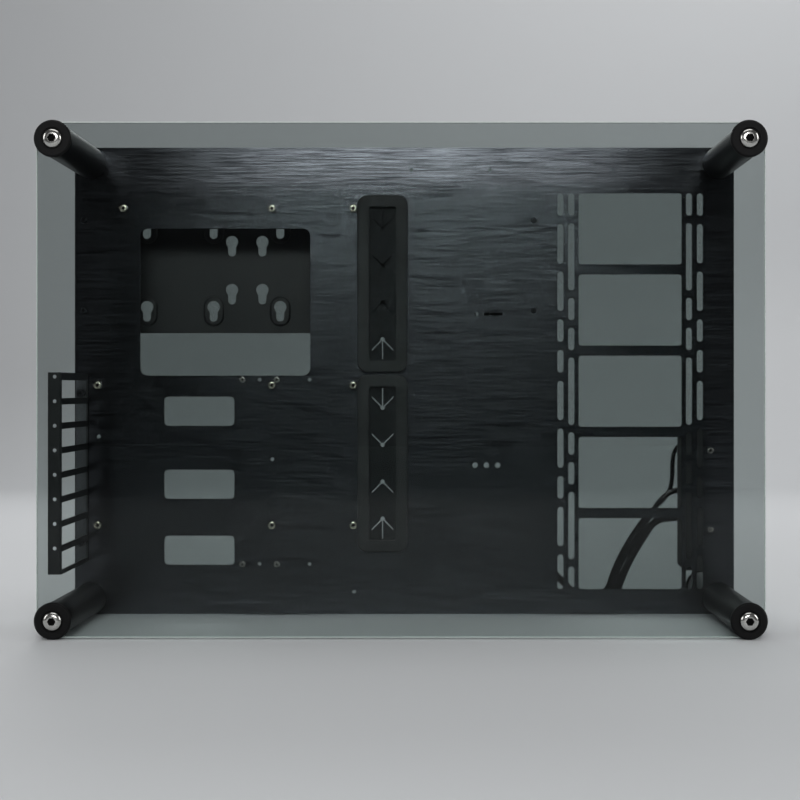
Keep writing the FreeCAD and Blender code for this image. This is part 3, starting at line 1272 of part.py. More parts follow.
for thing in doc.Objects:
    if "Invalid" in thing.State or "Error" in thing.State:
        raise RuntimeError(f"{thing.Label} did not build: {thing.State}")
os.makedirs("parts", exist_ok=True)
for node in nodes:
    if node.Shape.isNull() or not node.Shape.isValid():
        raise RuntimeError(f"{node.Label} has no valid shape")
    node.Shape.exportStep(f"parts/{node.Label}.step")
print(f"{len(nodes)} pieces")
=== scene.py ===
import math

import bmesh
import bpy
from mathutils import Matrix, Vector


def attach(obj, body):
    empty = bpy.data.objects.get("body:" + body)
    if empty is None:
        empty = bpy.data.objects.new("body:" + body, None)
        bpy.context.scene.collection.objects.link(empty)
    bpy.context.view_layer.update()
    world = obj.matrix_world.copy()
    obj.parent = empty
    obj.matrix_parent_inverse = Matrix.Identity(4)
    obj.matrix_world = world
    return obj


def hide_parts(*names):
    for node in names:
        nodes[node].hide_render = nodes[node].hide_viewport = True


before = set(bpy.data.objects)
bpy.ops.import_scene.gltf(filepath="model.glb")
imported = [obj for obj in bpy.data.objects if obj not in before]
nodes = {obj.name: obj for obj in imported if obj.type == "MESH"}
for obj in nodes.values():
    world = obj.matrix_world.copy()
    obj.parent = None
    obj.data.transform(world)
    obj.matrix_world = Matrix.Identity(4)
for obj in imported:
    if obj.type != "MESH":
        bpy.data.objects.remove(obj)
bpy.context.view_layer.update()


# Motherboard tray: one sheet of 3 mm aluminium, laser cut, brushed from side to side and anodised
# black. It carries every other piece. The brushing leaves bright lines along the sheet and draws
# each highlight out up and down.

MM = 0.001


def linear(text):
    """One sRGB hex colour as linear red, green, blue and alpha."""
    parts = [int(text[place:place + 2], 16) / 255 for place in (1, 3, 5)]
    parts = [part / 12.92 if part <= 0.04045 else ((part + 0.055) / 1.055) ** 2.4 for part in parts]
    return (*parts, 1.0)


def add(tree, kind, inputs=None, stops=(), **settings):
    """Adds one node. Settings are its properties, and stops the places and colours of its ramp.
    Inputs are values, or nodes, sockets or a list of them to link."""
    made = tree.nodes.new(kind)
    for name, value in settings.items():
        setattr(made, name, value)
    for number, (place, colour) in enumerate(stops):
        made.color_ramp.elements[number].position = place
        made.color_ramp.elements[number].color = linear(colour)
    for socket, value in (inputs or {}).items():
        for source in value if isinstance(value, list) else [value]:
            if isinstance(source, bpy.types.Node):
                source = source.outputs[0]
            if isinstance(source, bpy.types.NodeSocket):
                tree.links.new(source, made.inputs[socket])
            else:
                made.inputs[socket].default_value = source
    return made


def new_finish(name):
    """An empty material, its node tree and the object coordinates that its patterns follow."""
    made = bpy.data.materials.new(name)
    made.use_nodes = True
    made.node_tree.nodes.clear()
    return made, made.node_tree, add(made.node_tree, "ShaderNodeTexCoord").outputs["Object"]


def coat(finish, *names):
    """Gives CAD nodes a finish."""
    for name in names:
        nodes[name].data.materials.clear()
        nodes[name].data.materials.append(finish)


# Brushed black anodised aluminium: dark metal, smooth along the lines and rough across them. The
# real lines are 0.1 mm apart; here the long ones are 1.2 mm and the short ones 0.7 mm, to show.
# Each pair is the length and the spacing of a kind of line.
BRUSH_LINES = ((60, 1.2), (24, 0.7))

brushed_aluminium, tree, where = new_finish("brushed_black_anodised_aluminium")
layers = []
for length, spacing in BRUSH_LINES:
    drawn_out = add(tree, "ShaderNodeMapping", {
        "Vector": where, "Scale": (1 / (length * MM), 1, 1 / (spacing * MM)),
    })
    layers.append(add(tree, "ShaderNodeTexNoise", {
        "Vector": drawn_out, "Scale": 1.0, "Detail": 3.0,
    }))
lines = add(tree, "ShaderNodeMix", {0: 0.5, 2: layers[0], 3: layers[1]})
across_lines = add(tree, "ShaderNodeCombineXYZ", {"Z": 1.0})
tint = add(tree, "ShaderNodeValToRGB", {"Fac": lines}, stops=((0.4, "#2a2b2e"), (0.6, "#626469")))
add(tree, "ShaderNodeOutputMaterial", {"Surface": add(tree, "ShaderNodeBsdfPrincipled", {
    "Base Color": tint,
    "Metallic": 1.0,
    "Roughness": add(tree, "ShaderNodeMapRange", {
        "Value": lines, "From Min": 0.4, "From Max": 0.6, "To Min": 0.18, "To Max": 0.2,
    }),
    "Anisotropic": 0.75,
    "Tangent": across_lines,
    "Normal": add(tree, "ShaderNodeBump", {
        "Height": lines, "Strength": 0.02, "Distance": 0.1 * MM,
    }),
})})
coat(brushed_aluminium, "motherboard_tray")


# Corner posts: aluminium bar turned to 28 mm, bevelled at both ends and anodised black. A steel
# stud joins a front and a rear post through each corner of the tray.

# Black anodised turned bar: deep black metal with the faint rings that the tool leaves. The real
# rings are 0.1 mm apart; here they are 0.5 mm.
turned_aluminium, tree, where = new_finish("black_anodised_turned_aluminium")
along_bar = add(tree, "ShaderNodeMapping", {"Vector": where, "Scale": (6, 1 / (0.5 * MM), 6)})
rings = add(tree, "ShaderNodeTexNoise", {"Vector": along_bar, "Scale": 1.0, "Detail": 2.0})
tint = add(tree, "ShaderNodeValToRGB", {"Fac": rings}, stops=((0.3, "#101011"), (0.7, "#1a1a1b")))
add(tree, "ShaderNodeOutputMaterial", {"Surface": add(tree, "ShaderNodeBsdfPrincipled", {
    "Base Color": tint,
    "Metallic": 1.0,
    "Roughness": add(tree, "ShaderNodeMapRange", {"Value": rings, "To Min": 0.36, "To Max": 0.5}),
    "Normal": add(tree, "ShaderNodeBump", {
        "Height": rings, "Strength": 0.12, "Distance": 0.05 * MM,
    }),
})})
coat(turned_aluminium, *[name for name in nodes if "_post_" in name])

# Stainless steel: bright and slightly warm, with the fine grain of tumbling, about 0.8 mm across.
stainless_steel, tree, where = new_finish("tumbled_stainless_steel")
grain = add(tree, "ShaderNodeTexNoise", {"Vector": where, "Scale": 1 / (0.8 * MM), "Detail": 3.0})
tint = add(tree, "ShaderNodeValToRGB", {"Fac": grain}, stops=((0.3, "#b4b3af"), (0.7, "#d9d8d4")))
add(tree, "ShaderNodeOutputMaterial", {"Surface": add(tree, "ShaderNodeBsdfPrincipled", {
    "Base Color": tint,
    "Metallic": 1.0,
    "Roughness": add(tree, "ShaderNodeMapRange", {"Value": grain, "To Min": 0.14, "To Max": 0.28}),
    "Normal": add(tree, "ShaderNodeBump", {
        "Height": grain, "Strength": 0.06, "Distance": 0.05 * MM,
    }),
})})
coat(stainless_steel, "post_studs")


# Motherboard standoffs: nine hexagonal brass pillars, 6 mm across flats, screwed into the tray.
# Each has a chamfered top with a threaded hole for a motherboard screw.

# Edges bent by more than the crease stay sharp, and corners nearer than this are one. The faces of
# a hole lie clear of its piece's foot and top.
CREASE = math.radians(35)
SAME_CORNER = 0.001 * MM
CLEAR_OF_FOOT, CLEAR_OF_TOP = 0.1 * MM, 0.05 * MM


def shape_tree(name, sizes):
    """A geometry tree with named inputs for its places, its finish, the painted shade of its
    recesses and each of its sizes.
    """
    tree = bpy.data.node_groups.new(name, "GeometryNodeTree")
    tree.interface.new_socket("Places", in_out="INPUT", socket_type="NodeSocketGeometry")
    tree.interface.new_socket("Finish", in_out="INPUT", socket_type="NodeSocketMaterial")
    tree.interface.new_socket("Recess painted shade", in_out="INPUT", socket_type="NodeSocketMaterial")
    for size, value in sizes.items():
        socket = tree.interface.new_socket(size, in_out="INPUT", socket_type="NodeSocketFloat")
        socket.default_value = value
    tree.interface.new_socket("Pieces", in_out="OUTPUT", socket_type="NodeSocketGeometry")
    return tree, add(tree, "NodeGroupInput").outputs


def rod(tree, radius, depth, foot, sides=32):
    """A rod along Z that stands at a height."""
    made = add(tree, "GeometryNodeMeshCylinder", {
        "Vertices": sides, "Radius": radius, "Depth": depth,
    })
    middle = add(tree, "ShaderNodeMath", {0: depth, 1: 0.5, 2: foot}, operation="MULTIPLY_ADD")
    lift = add(tree, "ShaderNodeCombineXYZ", {"Z": middle})
    return add(tree, "GeometryNodeTransform", {"Geometry": made, "Translation": lift})


def hung_rod(tree, radius, depth, sides=32):
    """A rod along Z that hangs under zero."""
    foot = add(tree, "ShaderNodeMath", {0: depth, 1: -1.0}, operation="MULTIPLY")
    return rod(tree, radius, depth, foot, sides)


def from_axis(tree):
    """The X, Y and Z of each point, and its distance from the Z axis."""
    place = add(tree, "ShaderNodeSeparateXYZ", {0: add(tree, "GeometryNodeInputPosition")}).outputs
    flat = add(tree, "ShaderNodeCombineXYZ", {"X": place["X"], "Y": place["Y"]})
    return place, add(tree, "ShaderNodeVectorMath", {0: flat}, operation="LENGTH").outputs["Value"]


def cut_recess(tree, shape, cutter, radius, top):
    """Cuts a hole, merges the doubled corners that the cut leaves and marks the faces inside, which
    lie within a radius and between the foot and the top."""
    cut = add(tree, "GeometryNodeMeshBoolean", {
        "Mesh 1": shape, "Mesh 2": cutter,
    }, operation="DIFFERENCE", solver="EXACT")
    merged = add(tree, "GeometryNodeMergeByDistance", {
        "Geometry": cut, "Distance": 2 * SAME_CORNER,
    })
    place, out = from_axis(tree)
    near = add(tree, "FunctionNodeCompare", {0: out, 1: radius}, operation="LESS_THAN")
    over_foot = add(tree, "FunctionNodeCompare", {
        0: place["Z"], 1: CLEAR_OF_FOOT,
    }, operation="GREATER_THAN")
    rim = add(tree, "ShaderNodeMath", {0: top, 1: CLEAR_OF_TOP}, operation="SUBTRACT")
    under_top = add(tree, "FunctionNodeCompare", {0: place["Z"], 1: rim}, operation="LESS_THAN")
    within = add(tree, "FunctionNodeBooleanMath", {0: over_foot, 1: under_top})
    return add(tree, "GeometryNodeStoreNamedAttribute", {
        "Geometry": merged, "Name": "recess",
        "Value": add(tree, "FunctionNodeBooleanMath", {0: near, 1: within}),
    }, data_type="BOOLEAN", domain="FACE")


def set_out(tree, shape, sizes):
    """Ends a tree: the shape, drawn along Z, is turned to face forward or back and set on every
    place."""
    bend = add(tree, "GeometryNodeInputMeshEdgeAngle")
    sharp = add(tree, "FunctionNodeCompare", {0: bend, 1: CREASE}, operation="GREATER_THAN")
    smooth = add(tree, "GeometryNodeSetShadeSmooth", {
        "Geometry": shape, "Shade Smooth": True,
    }, domain="FACE")
    edged = add(tree, "GeometryNodeSetShadeSmooth", {
        "Geometry": smooth, "Selection": sharp, "Shade Smooth": False,
    }, domain="EDGE")
    laid = add(tree, "GeometryNodeTransform", {
        "Geometry": edged, "Rotation": (math.radians(90), 0, 0),
    })
    facing = add(tree, "ShaderNodeCombineXYZ", {"Z": sizes["Facing"]})
    turned = add(tree, "FunctionNodeEulerToRotation", {0: facing})
    spread = add(tree, "GeometryNodeInstanceOnPoints", {
        "Points": sizes["Places"], "Instance": laid, "Rotation": turned,
    })
    real = add(tree, "GeometryNodeRealizeInstances", {0: spread})
    coated = add(tree, "GeometryNodeSetMaterial", {"Geometry": real, "Material": sizes["Finish"]})
    # The faces inside a hole take the painted shade of the recess.
    recess = add(tree, "GeometryNodeInputNamedAttribute", {"Name": "recess"}, data_type="BOOLEAN")
    add(tree, "NodeGroupOutput", {0: add(tree, "GeometryNodeSetMaterial", {
        "Geometry": coated, "Selection": recess, "Material": sizes["Recess painted shade"],
    })})


def baked(name, tree, places, finish, recess, **sizes):
    """Runs a tree on places in mm and keeps the result as one plain mesh."""
    values = {"Finish": finish, "Recess painted shade": recess, **sizes}
    marks = bpy.data.meshes.new(f"{name}_places")
    marks.from_pydata([Vector(place) * MM for place in places], [], [])
    carrier = bpy.data.objects.new(f"{name}_places", marks)
    bpy.context.scene.collection.objects.link(carrier)
    modifier = carrier.modifiers.new("shape", "NODES")
    modifier.node_group = tree
    for socket in tree.interface.items_tree:
        if socket.name in values:
            modifier[socket.identifier] = values[socket.name]
    graph = bpy.context.evaluated_depsgraph_get()
    mesh = bpy.data.meshes.new_from_object(carrier.evaluated_get(graph), depsgraph=graph)
    bpy.data.objects.remove(carrier)
    mesh.name = name
    piece = bpy.data.objects.new(name, mesh)
    bpy.context.scene.collection.objects.link(piece)
    return piece


def fit(piece, slot, *replaced, body="case"):
    """Makes a piece ride on its body and stand for CAD nodes, which it hides. The slot is not used.
    """
    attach(piece, body)
    if replaced:
        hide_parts(*replaced)


# Turned brass: warm yellow metal, slightly dulled in spots of about 2 mm.
brass, tree, where = new_finish("turned_brass")
tarnish = add(tree, "ShaderNodeTexNoise", {"Vector": where, "Scale": 1 / (2 * MM), "Detail": 2.0})
tint = add(tree, "ShaderNodeValToRGB", {"Fac": tarnish}, stops=((0.3, "#dcd2b8"), (0.7, "#f6f0e0")))
add(tree, "ShaderNodeOutputMaterial", {"Surface": add(tree, "ShaderNodeBsdfPrincipled", {
    "Base Color": tint,
    "Metallic": 1.0,
    "Roughness": add(tree, "ShaderNodeMapRange", {"Value": tarnish, "To Min": 0.18, "To Max": 0.3}),
})})

# Painted shade for threads and recesses: near black cut metal that stands in for the shade deep in
# a hole, where little light gets in.
painted_recess_shade, tree, where = new_finish("painted_shade_in_recess")
mottle = add(tree, "ShaderNodeTexNoise", {"Vector": where, "Scale": 1 / (0.5 * MM), "Detail": 2.0})
tint = add(tree, "ShaderNodeValToRGB", {"Fac": mottle}, stops=((0.3, "#050505"), (0.7, "#0e0d0c")))
add(tree, "ShaderNodeOutputMaterial", {"Surface": add(tree, "ShaderNodeBsdfPrincipled", {
    "Base Color": tint,
    "Roughness": 0.7,
    "Specular IOR Level": 0.1,
})})

tree, sizes = shape_tree("hexagonal_standoff", {
    "Across corners": 6.93 * MM, "Length": 6.5 * MM, "Top radius": 2.85 * MM, "Slope": 12 * MM,
    "Hole": 1.5 * MM, "Hole depth": 5 * MM, "Hole edge": 1.6 * MM, "Stud": 1.5 * MM,
    "Stud length": 3 * MM, "Facing": 0.0,
})
corner = add(tree, "ShaderNodeMath", {0: sizes["Across corners"], 1: 0.5}, operation="MULTIPLY")
pillar = rod(tree, corner, sizes["Length"], 0.0, sides=6)
foot_radius = add(tree, "ShaderNodeMath", {
    0: sizes["Top radius"], 1: sizes["Slope"],
}, operation="ADD")
chamfer = add(tree, "GeometryNodeMeshCone", {
    "Vertices": 48, "Radius Top": sizes["Top radius"], "Radius Bottom": foot_radius,
    "Depth": sizes["Length"],
})
chamfered = add(tree, "GeometryNodeMeshBoolean", {
    "Mesh 2": [pillar, chamfer],
}, operation="INTERSECT", solver="EXACT")
hole_foot = add(tree, "ShaderNodeMath", {
    0: sizes["Length"], 1: sizes["Hole depth"],
}, operation="SUBTRACT")
hole = rod(tree, sizes["Hole"], sizes["Length"], hole_foot)
drilled = cut_recess(tree, chamfered, hole, sizes["Hole edge"], sizes["Length"])
stud = hung_rod(tree, sizes["Stud"], sizes["Stud length"])
set_out(tree, add(tree, "GeometryNodeJoinGeometry", {0: [drilled, stud]}), sizes)

# The standard motherboard hole pattern, whose top left hole is set in from its column.
TRAY_FRONT = 28.5
COLUMNS = (-272.8, -117.86, -45.47)
ROWS = (80.6, 205.06, 362.54)
TOP_LEFT = -249.94
places = [
    (TOP_LEFT if (x, z) == (COLUMNS[0], ROWS[2]) else x, TRAY_FRONT, z)
    for x in COLUMNS for z in ROWS
]
standoffs = baked("tray_standoffs", tree, places, brass, painted_recess_shade)
fit(standoffs, "standoff_brass", "motherboard_standoffs")


# Cable grommets: moulded rubber frames that snap into the two long cut-outs of the tray. A thin web
# closes each, slit in arrow shapes so that leads push through it.

# Moulded black rubber: matt and slightly grey, with a soft grain of about 0.6 mm.
rubber, tree, where = new_finish("moulded_black_rubber")
grain = add(tree, "ShaderNodeTexNoise", {"Vector": where, "Scale": 1 / (0.6 * MM), "Detail": 3.0})
bloom = add(tree, "ShaderNodeTexNoise", {"Vector": where, "Scale": 1 / (22 * MM), "Detail": 3.0})
tint = add(tree, "ShaderNodeValToRGB", {"Fac": bloom}, stops=((0.3, "#1e1f20"), (0.7, "#2f3132")))
add(tree, "ShaderNodeOutputMaterial", {"Surface": add(tree, "ShaderNodeBsdfPrincipled", {
    "Base Color": tint,
    "Roughness": add(tree, "ShaderNodeMapRange", {"Value": grain, "To Min": 0.5, "To Max": 0.68}),
    "IOR": 1.52,
    "Normal": add(tree, "ShaderNodeBump", {
        "Height": grain, "Strength": 0.2, "Distance": 0.15 * MM,
    }),
})})

# Rubber web: the frame's rubber with painted shade, so darker than the frame round it, and a little
# less shiny.
painted_shade_web, tree, where = new_finish("rubber_web_painted_shade")
bloom = add(tree, "ShaderNodeTexNoise", {"Vector": where, "Scale": 1 / (14 * MM), "Detail": 3.0})
tint = add(tree, "ShaderNodeValToRGB", {"Fac": bloom}, stops=((0.3, "#191b1d"), (0.7, "#26282b")))
add(tree, "ShaderNodeOutputMaterial", {"Surface": add(tree, "ShaderNodeBsdfPrincipled", {
    "Base Color": tint,
    "Roughness": 0.6,
    "Specular IOR Level": 0.3,
})})

# Faces bent by less than the first angle make one flat face, and rounding takes off edges bent by
# more than the second. A face of a plane lies within 0.1 mm of it and looks nearly square on.
FLAT_WITHIN = math.radians(0.5)
ROUNDED_FROM = math.radians(40)
SAME_PLANE, SQUARE_ON = 0.1, 0.9


def dressed_copy(node, name, finishes, choose=None, rounding=0.0):
    """A merged copy of a CAD node. Choose gives a face, from its centre in mm and its normal, the
    number of its finish. Rounding, in mm, takes the sharp edges off."""
    mesh = nodes[node].data.copy()
    mesh.name = name
    mesh.materials.clear()
    for finish in finishes:
        mesh.materials.append(finish)
    if "custom_normal" in mesh.attributes:
        mesh.attributes.remove(mesh.attributes["custom_normal"])
    shape = bmesh.new()
    shape.from_mesh(mesh)
    bmesh.ops.remove_doubles(shape, verts=shape.verts, dist=SAME_CORNER)
    bmesh.ops.dissolve_limit(shape, angle_limit=FLAT_WITHIN, verts=shape.verts, edges=shape.edges)
    if rounding:
        shared = [edge for edge in shape.edges if edge.is_manifold]
        sharp = [edge for edge in shared if edge.calc_face_angle() > ROUNDED_FROM]
        bmesh.ops.bevel(
            shape, geom=sharp, offset=rounding * MM, segments=2, profile=0.5, affect="EDGES",
        )
    shape.normal_update()
    for face in shape.faces:
        face.smooth = True
        face.material_index = choose(face.calc_center_median() / MM, face.normal) if choose else 0
    shape.to_mesh(mesh)
    shape.free()
    mesh.set_sharp_from_angle(angle=CREASE)
    piece = bpy.data.objects.new(name, mesh)
    bpy.context.scene.collection.objects.link(piece)
    return piece


def front_at(plane):
    """A choice of finish: 1 for the faces that lie in a plane and look forward, 0 for the rest."""
    return lambda centre, normal: int(
        abs(centre.y - plane) < SAME_PLANE and normal.y < -SQUARE_ON
    )


for level in ("upper", "lower"):
    # The web's forward faces take its painted shade.
    grommet = dressed_copy(
        f"{level}_cable_grommet", f"{level}_grommet_dressed", (rubber, painted_shade_web),
        front_at(TRAY_FRONT),
    )
    fit(grommet, "rubber", f"{level}_cable_grommet")


# Expansion slot frame: a rail of folded steel sheet down the left edge, with eight openings for
# card plates. Two knurled thumbscrews hold it to the tray.

# Black powder coat: satin, with the fine orange peel of melted powder, about 0.7 mm across.
powder_coat, tree, where = new_finish("black_powder_coat")
peel = add(tree, "ShaderNodeTexNoise", {"Vector": where, "Scale": 1 / (0.7 * MM), "Detail": 2.0})
cloud = add(tree, "ShaderNodeTexNoise", {"Vector": where, "Scale": 1 / (30 * MM), "Detail": 2.0})
tint = add(tree, "ShaderNodeValToRGB", {"Fac": cloud}, stops=((0.3, "#131416"), (0.7, "#1d1e20")))
add(tree, "ShaderNodeOutputMaterial", {"Surface": add(tree, "ShaderNodeBsdfPrincipled", {
    "Base Color": tint,
    "Roughness": add(tree, "ShaderNodeMapRange", {"Value": peel, "To Min": 0.36, "To Max": 0.5}),
    "Normal": add(tree, "ShaderNodeBump", {
        "Height": peel, "Strength": 0.08, "Distance": 0.1 * MM,
    }),
})})

# Painted sheen on the flange: the rail is the same black powder coat, and pale grey on the flange's
# forward faces, where it lies on the tray, stands in for the pale surroundings that the flange
# reflects.
painted_flange_sheen, tree, where = new_finish("flange_painted_sheen_grey")
grain = add(tree, "ShaderNodeTexNoise", {"Vector": where, "Scale": 1 / (2 * MM), "Detail": 3.0})
tint = add(tree, "ShaderNodeValToRGB", {"Fac": grain}, stops=((0.3, "#525458"), (0.7, "#5f6165")))
add(tree, "ShaderNodeOutputMaterial", {"Surface": add(tree, "ShaderNodeBsdfPrincipled", {
    "Base Color": tint,
    "Roughness": 0.6,
})})

FLANGE_FRONT = 27.3
# The flange's forward faces take the painted sheen.
slot_frame = dressed_copy(
    "expansion_slot_frame", "slot_frame_dressed", (powder_coat, painted_flange_sheen),
    front_at(FLANGE_FRONT),
)
fit(slot_frame, "bracket_black", "expansion_slot_frame")

# Black zinc on steel: dark grey metal with a smoky sheen in patches of about 3 mm.
black_zinc, tree, where = new_finish("black_zinc_on_steel")
smoke = add(tree, "ShaderNodeTexNoise", {"Vector": where, "Scale": 1 / (3 * MM), "Detail": 2.0})
tint = add(tree, "ShaderNodeValToRGB", {"Fac": smoke}, stops=((0.3, "#2c2d2f"), (0.7, "#48494c")))
add(tree, "ShaderNodeOutputMaterial", {"Surface": add(tree, "ShaderNodeBsdfPrincipled", {
    "Base Color": tint,
    "Metallic": 1.0,
    "Roughness": add(tree, "ShaderNodeMapRange", {"Value": smoke, "To Min": 0.24, "To Max": 0.38}),
})})


def cross_bars(tree, sizes, top):
    """The two bars that a cross driver sinks into a head."""
    deep = add(tree, "ShaderNodeMath", {0: sizes["Cross depth"], 1: 2.0}, operation="MULTIPLY")
    lift = add(tree, "ShaderNodeCombineXYZ", {"Z": top})
    bars = []
    for along, over in (("Cross length", "Cross width"), ("Cross width", "Cross length")):
        size = add(tree, "ShaderNodeCombineXYZ", {"X": sizes[along], "Y": sizes[over], "Z": deep})
        bar = add(tree, "GeometryNodeMeshCube", {"Size": size})
        bars.append(add(tree, "GeometryNodeTransform", {"Geometry": bar, "Translation": lift}))
    return bars


tree, sizes = shape_tree("knurled_thumbscrew", {
    "Head radius": 4 * MM, "Knurl radius": 3.65 * MM, "Head length": 5.5 * MM, "Waist": 2.75 * MM,
    "Waist length": 1.5 * MM, "Shank": 1.9 * MM, "Shank length": 4.2 * MM, "Cross length": 3.6 * MM,
    "Cross width": 0.9 * MM, "Cross depth": 1.4 * MM, "Cross edge": 1.9 * MM, "Facing": 0.0,
})
outline = add(tree, "GeometryNodeCurveStar", {
    "Points": 26, "Inner Radius": sizes["Knurl radius"], "Outer Radius": sizes["Head radius"],
})
face = add(tree, "GeometryNodeFillCurve", {"Curve": outline}, mode="NGONS")
grown = add(tree, "GeometryNodeExtrudeMesh", {
    "Mesh": face, "Offset Scale": sizes["Head length"], "Individual": False,
}, mode="FACES")
foot = add(tree, "GeometryNodeFlipFaces", {"Mesh": face})
closed = add(tree, "GeometryNodeMergeByDistance", {
    "Geometry": add(tree, "GeometryNodeJoinGeometry", {0: [grown, foot]}), "Distance": SAME_CORNER,
})
bars = cross_bars(tree, sizes, sizes["Head length"])
recessed = cut_recess(tree, closed, bars, sizes["Cross edge"], sizes["Head length"])
lift = add(tree, "ShaderNodeCombineXYZ", {"Z": sizes["Waist length"]})
head = add(tree, "GeometryNodeTransform", {"Geometry": recessed, "Translation": lift})
waist = rod(tree, sizes["Waist"], sizes["Waist length"], 0.0)
shank = hung_rod(tree, sizes["Shank"], sizes["Shank length"])
set_out(tree, add(tree, "GeometryNodeJoinGeometry", {0: [head, waist, shank]}), sizes)

THUMBSCREW_COLUMN = -287.5
THUMBSCREW_ROWS = (197.96, 65.5)
places = [(THUMBSCREW_COLUMN, FLANGE_FRONT, z) for z in THUMBSCREW_ROWS]
thumbscrews = baked("knurled_thumbscrews", tree, places, black_zinc, painted_recess_shade)
fit(thumbscrews, "screw_black", "slot_frame_thumbscrews")


# Drive bracket: a wide hat of folded steel behind the tray, seen through the processor window.
# Pressed bosses with keyholes take the screws of three drives, and four pan head screws hold it to
# the tray.

coat(powder_coat, "drive_bracket")


def domed_head(tree, radius, height, rounding):
    """A round head along Z that stands on zero. The outer rings of its top are rolled down over
    the edge."""
    disc = add(tree, "GeometryNodeMeshCylinder", {
        "Vertices": 40, "Side Segments": 1, "Fill Segments": 14, "Radius": radius, "Depth": height,
    }, fill_type="TRIANGLE_FAN")
    middle = add(tree, "ShaderNodeMath", {0: height, 1: 0.5}, operation="MULTIPLY")
    lift = add(tree, "ShaderNodeCombineXYZ", {"Z": middle})
    raised = add(tree, "GeometryNodeTransform", {"Geometry": disc, "Translation": lift})
    place, out = from_axis(tree)
    core = add(tree, "ShaderNodeMath", {0: radius, 1: rounding}, operation="SUBTRACT")
    roll = add(tree, "ShaderNodeMapRange", {
        "Value": out, "From Min": core, "From Max": radius, "To Min": 0.0, "To Max": math.pi / 2,
    })
    inner = add(tree, "ShaderNodeMath", {0: out, 1: core}, operation="MINIMUM")
    sine = add(tree, "ShaderNodeMath", {0: roll}, operation="SINE")
    swung = add(tree, "ShaderNodeMath", {0: sine, 1: rounding, 2: inner}, operation="MULTIPLY_ADD")
    ratio = add(tree, "ShaderNodeMath", {0: swung, 1: out}, operation="DIVIDE")
    cosine = add(tree, "ShaderNodeMath", {0: roll}, operation="COSINE")
    left = add(tree, "ShaderNodeMath", {0: 1.0, 1: cosine}, operation="SUBTRACT")
    drop = add(tree, "ShaderNodeMath", {0: left, 1: rounding}, operation="MULTIPLY")
    moved = add(tree, "ShaderNodeCombineXYZ", {
        "X": add(tree, "ShaderNodeMath", {0: place["X"], 1: ratio}, operation="MULTIPLY"),
        "Y": add(tree, "ShaderNodeMath", {0: place["Y"], 1: ratio}, operation="MULTIPLY"),
        "Z": add(tree, "ShaderNodeMath", {0: place["Z"], 1: drop}, operation="SUBTRACT"),
    })
    on_top = add(tree, "FunctionNodeCompare", {0: place["Z"], 1: middle}, operation="GREATER_THAN")
    return add(tree, "GeometryNodeSetPosition", {
        "Geometry": raised, "Selection": on_top, "Position": moved,
    })


pan_head_tree, sizes = shape_tree("pan_head_screw", {
    "Head radius": 2.8 * MM, "Head height": 1.8 * MM, "Rounding": 1.3 * MM, "Shank": 1.5 * MM,
    "Shank length": 5.4 * MM, "Cross length": 2.9 * MM, "Cross width": 0.7 * MM,
    "Cross depth": 1.1 * MM, "Cross edge": 1.4 * MM, "Facing": 0.0,
})
head = domed_head(pan_head_tree, sizes["Head radius"], sizes["Head height"], sizes["Rounding"])
bars = cross_bars(pan_head_tree, sizes, sizes["Head height"])
recessed = cut_recess(pan_head_tree, head, bars, sizes["Cross edge"], sizes["Head height"])
shank = hung_rod(pan_head_tree, sizes["Shank"], sizes["Shank length"], sides=20)
screw = add(pan_head_tree, "GeometryNodeJoinGeometry", {0: [recessed, shank]})
set_out(pan_head_tree, screw, sizes)

DRIVE_COLUMNS = (-285.9, 115.3)
DRIVE_ROWS = (271.7, 352.3)
places = [(x, TRAY_FRONT, z) for x in DRIVE_COLUMNS for z in DRIVE_ROWS]
screws = baked("drive_bracket_pan_screws", pan_head_tree, places, black_zinc, painted_recess_shade)
fit(screws, "screw_black", "drive_bracket_screws")


# Power supply bracket: a folded steel box end behind the lower windows, with an opening for the
# supply's face. Screws through the tray hold its two walls.

coat(powder_coat, "supply_bracket")

# Nickel on steel: paler than the black parts, so that each head shows as a light dot on the tray.
nickel, tree, where = new_finish("nickel_plated_steel")
grain = add(tree, "ShaderNodeTexNoise", {"Vector": where, "Scale": 1 / (1.5 * MM), "Detail": 2.0})
tint = add(tree, "ShaderNodeValToRGB", {"Fac": grain}, stops=((0.3, "#8d8b86"), (0.7, "#bab7b1")))
add(tree, "ShaderNodeOutputMaterial", {"Surface": add(tree, "ShaderNodeBsdfPrincipled", {
    "Base Color": tint,
    "Metallic": 1.0,
    "Roughness": add(tree, "ShaderNodeMapRange", {"Value": grain, "To Min": 0.2, "To Max": 0.34}),
})})

SUPPLY_COLUMNS = (-144.5, -113.9)
SUPPLY_ROWS = (210.1, 45.4)
places = [(x, TRAY_FRONT, z) for x in SUPPLY_COLUMNS for z in SUPPLY_ROWS]
screws = baked("supply_bracket_pan_screws", pan_head_tree, places, nickel, painted_recess_shade)
fit(screws, "screw_black", "supply_bracket_screws")


# Port bracket: folded steel at the right edge of the tray's back. It holds a small circuit board on
# spacers, and its face has holes for the sockets, the two buttons and the lamp.

coat(powder_coat, "port_bracket")
PORT_COLUMN = 273
PORT_ROWS = (146.75, 76.25)
places = [(PORT_COLUMN, TRAY_FRONT, z) for z in PORT_ROWS]
screws = baked("port_bracket_pan_screws", pan_head_tree, places, nickel, painted_recess_shade)
fit(screws, "screw_black", "port_bracket_screws")

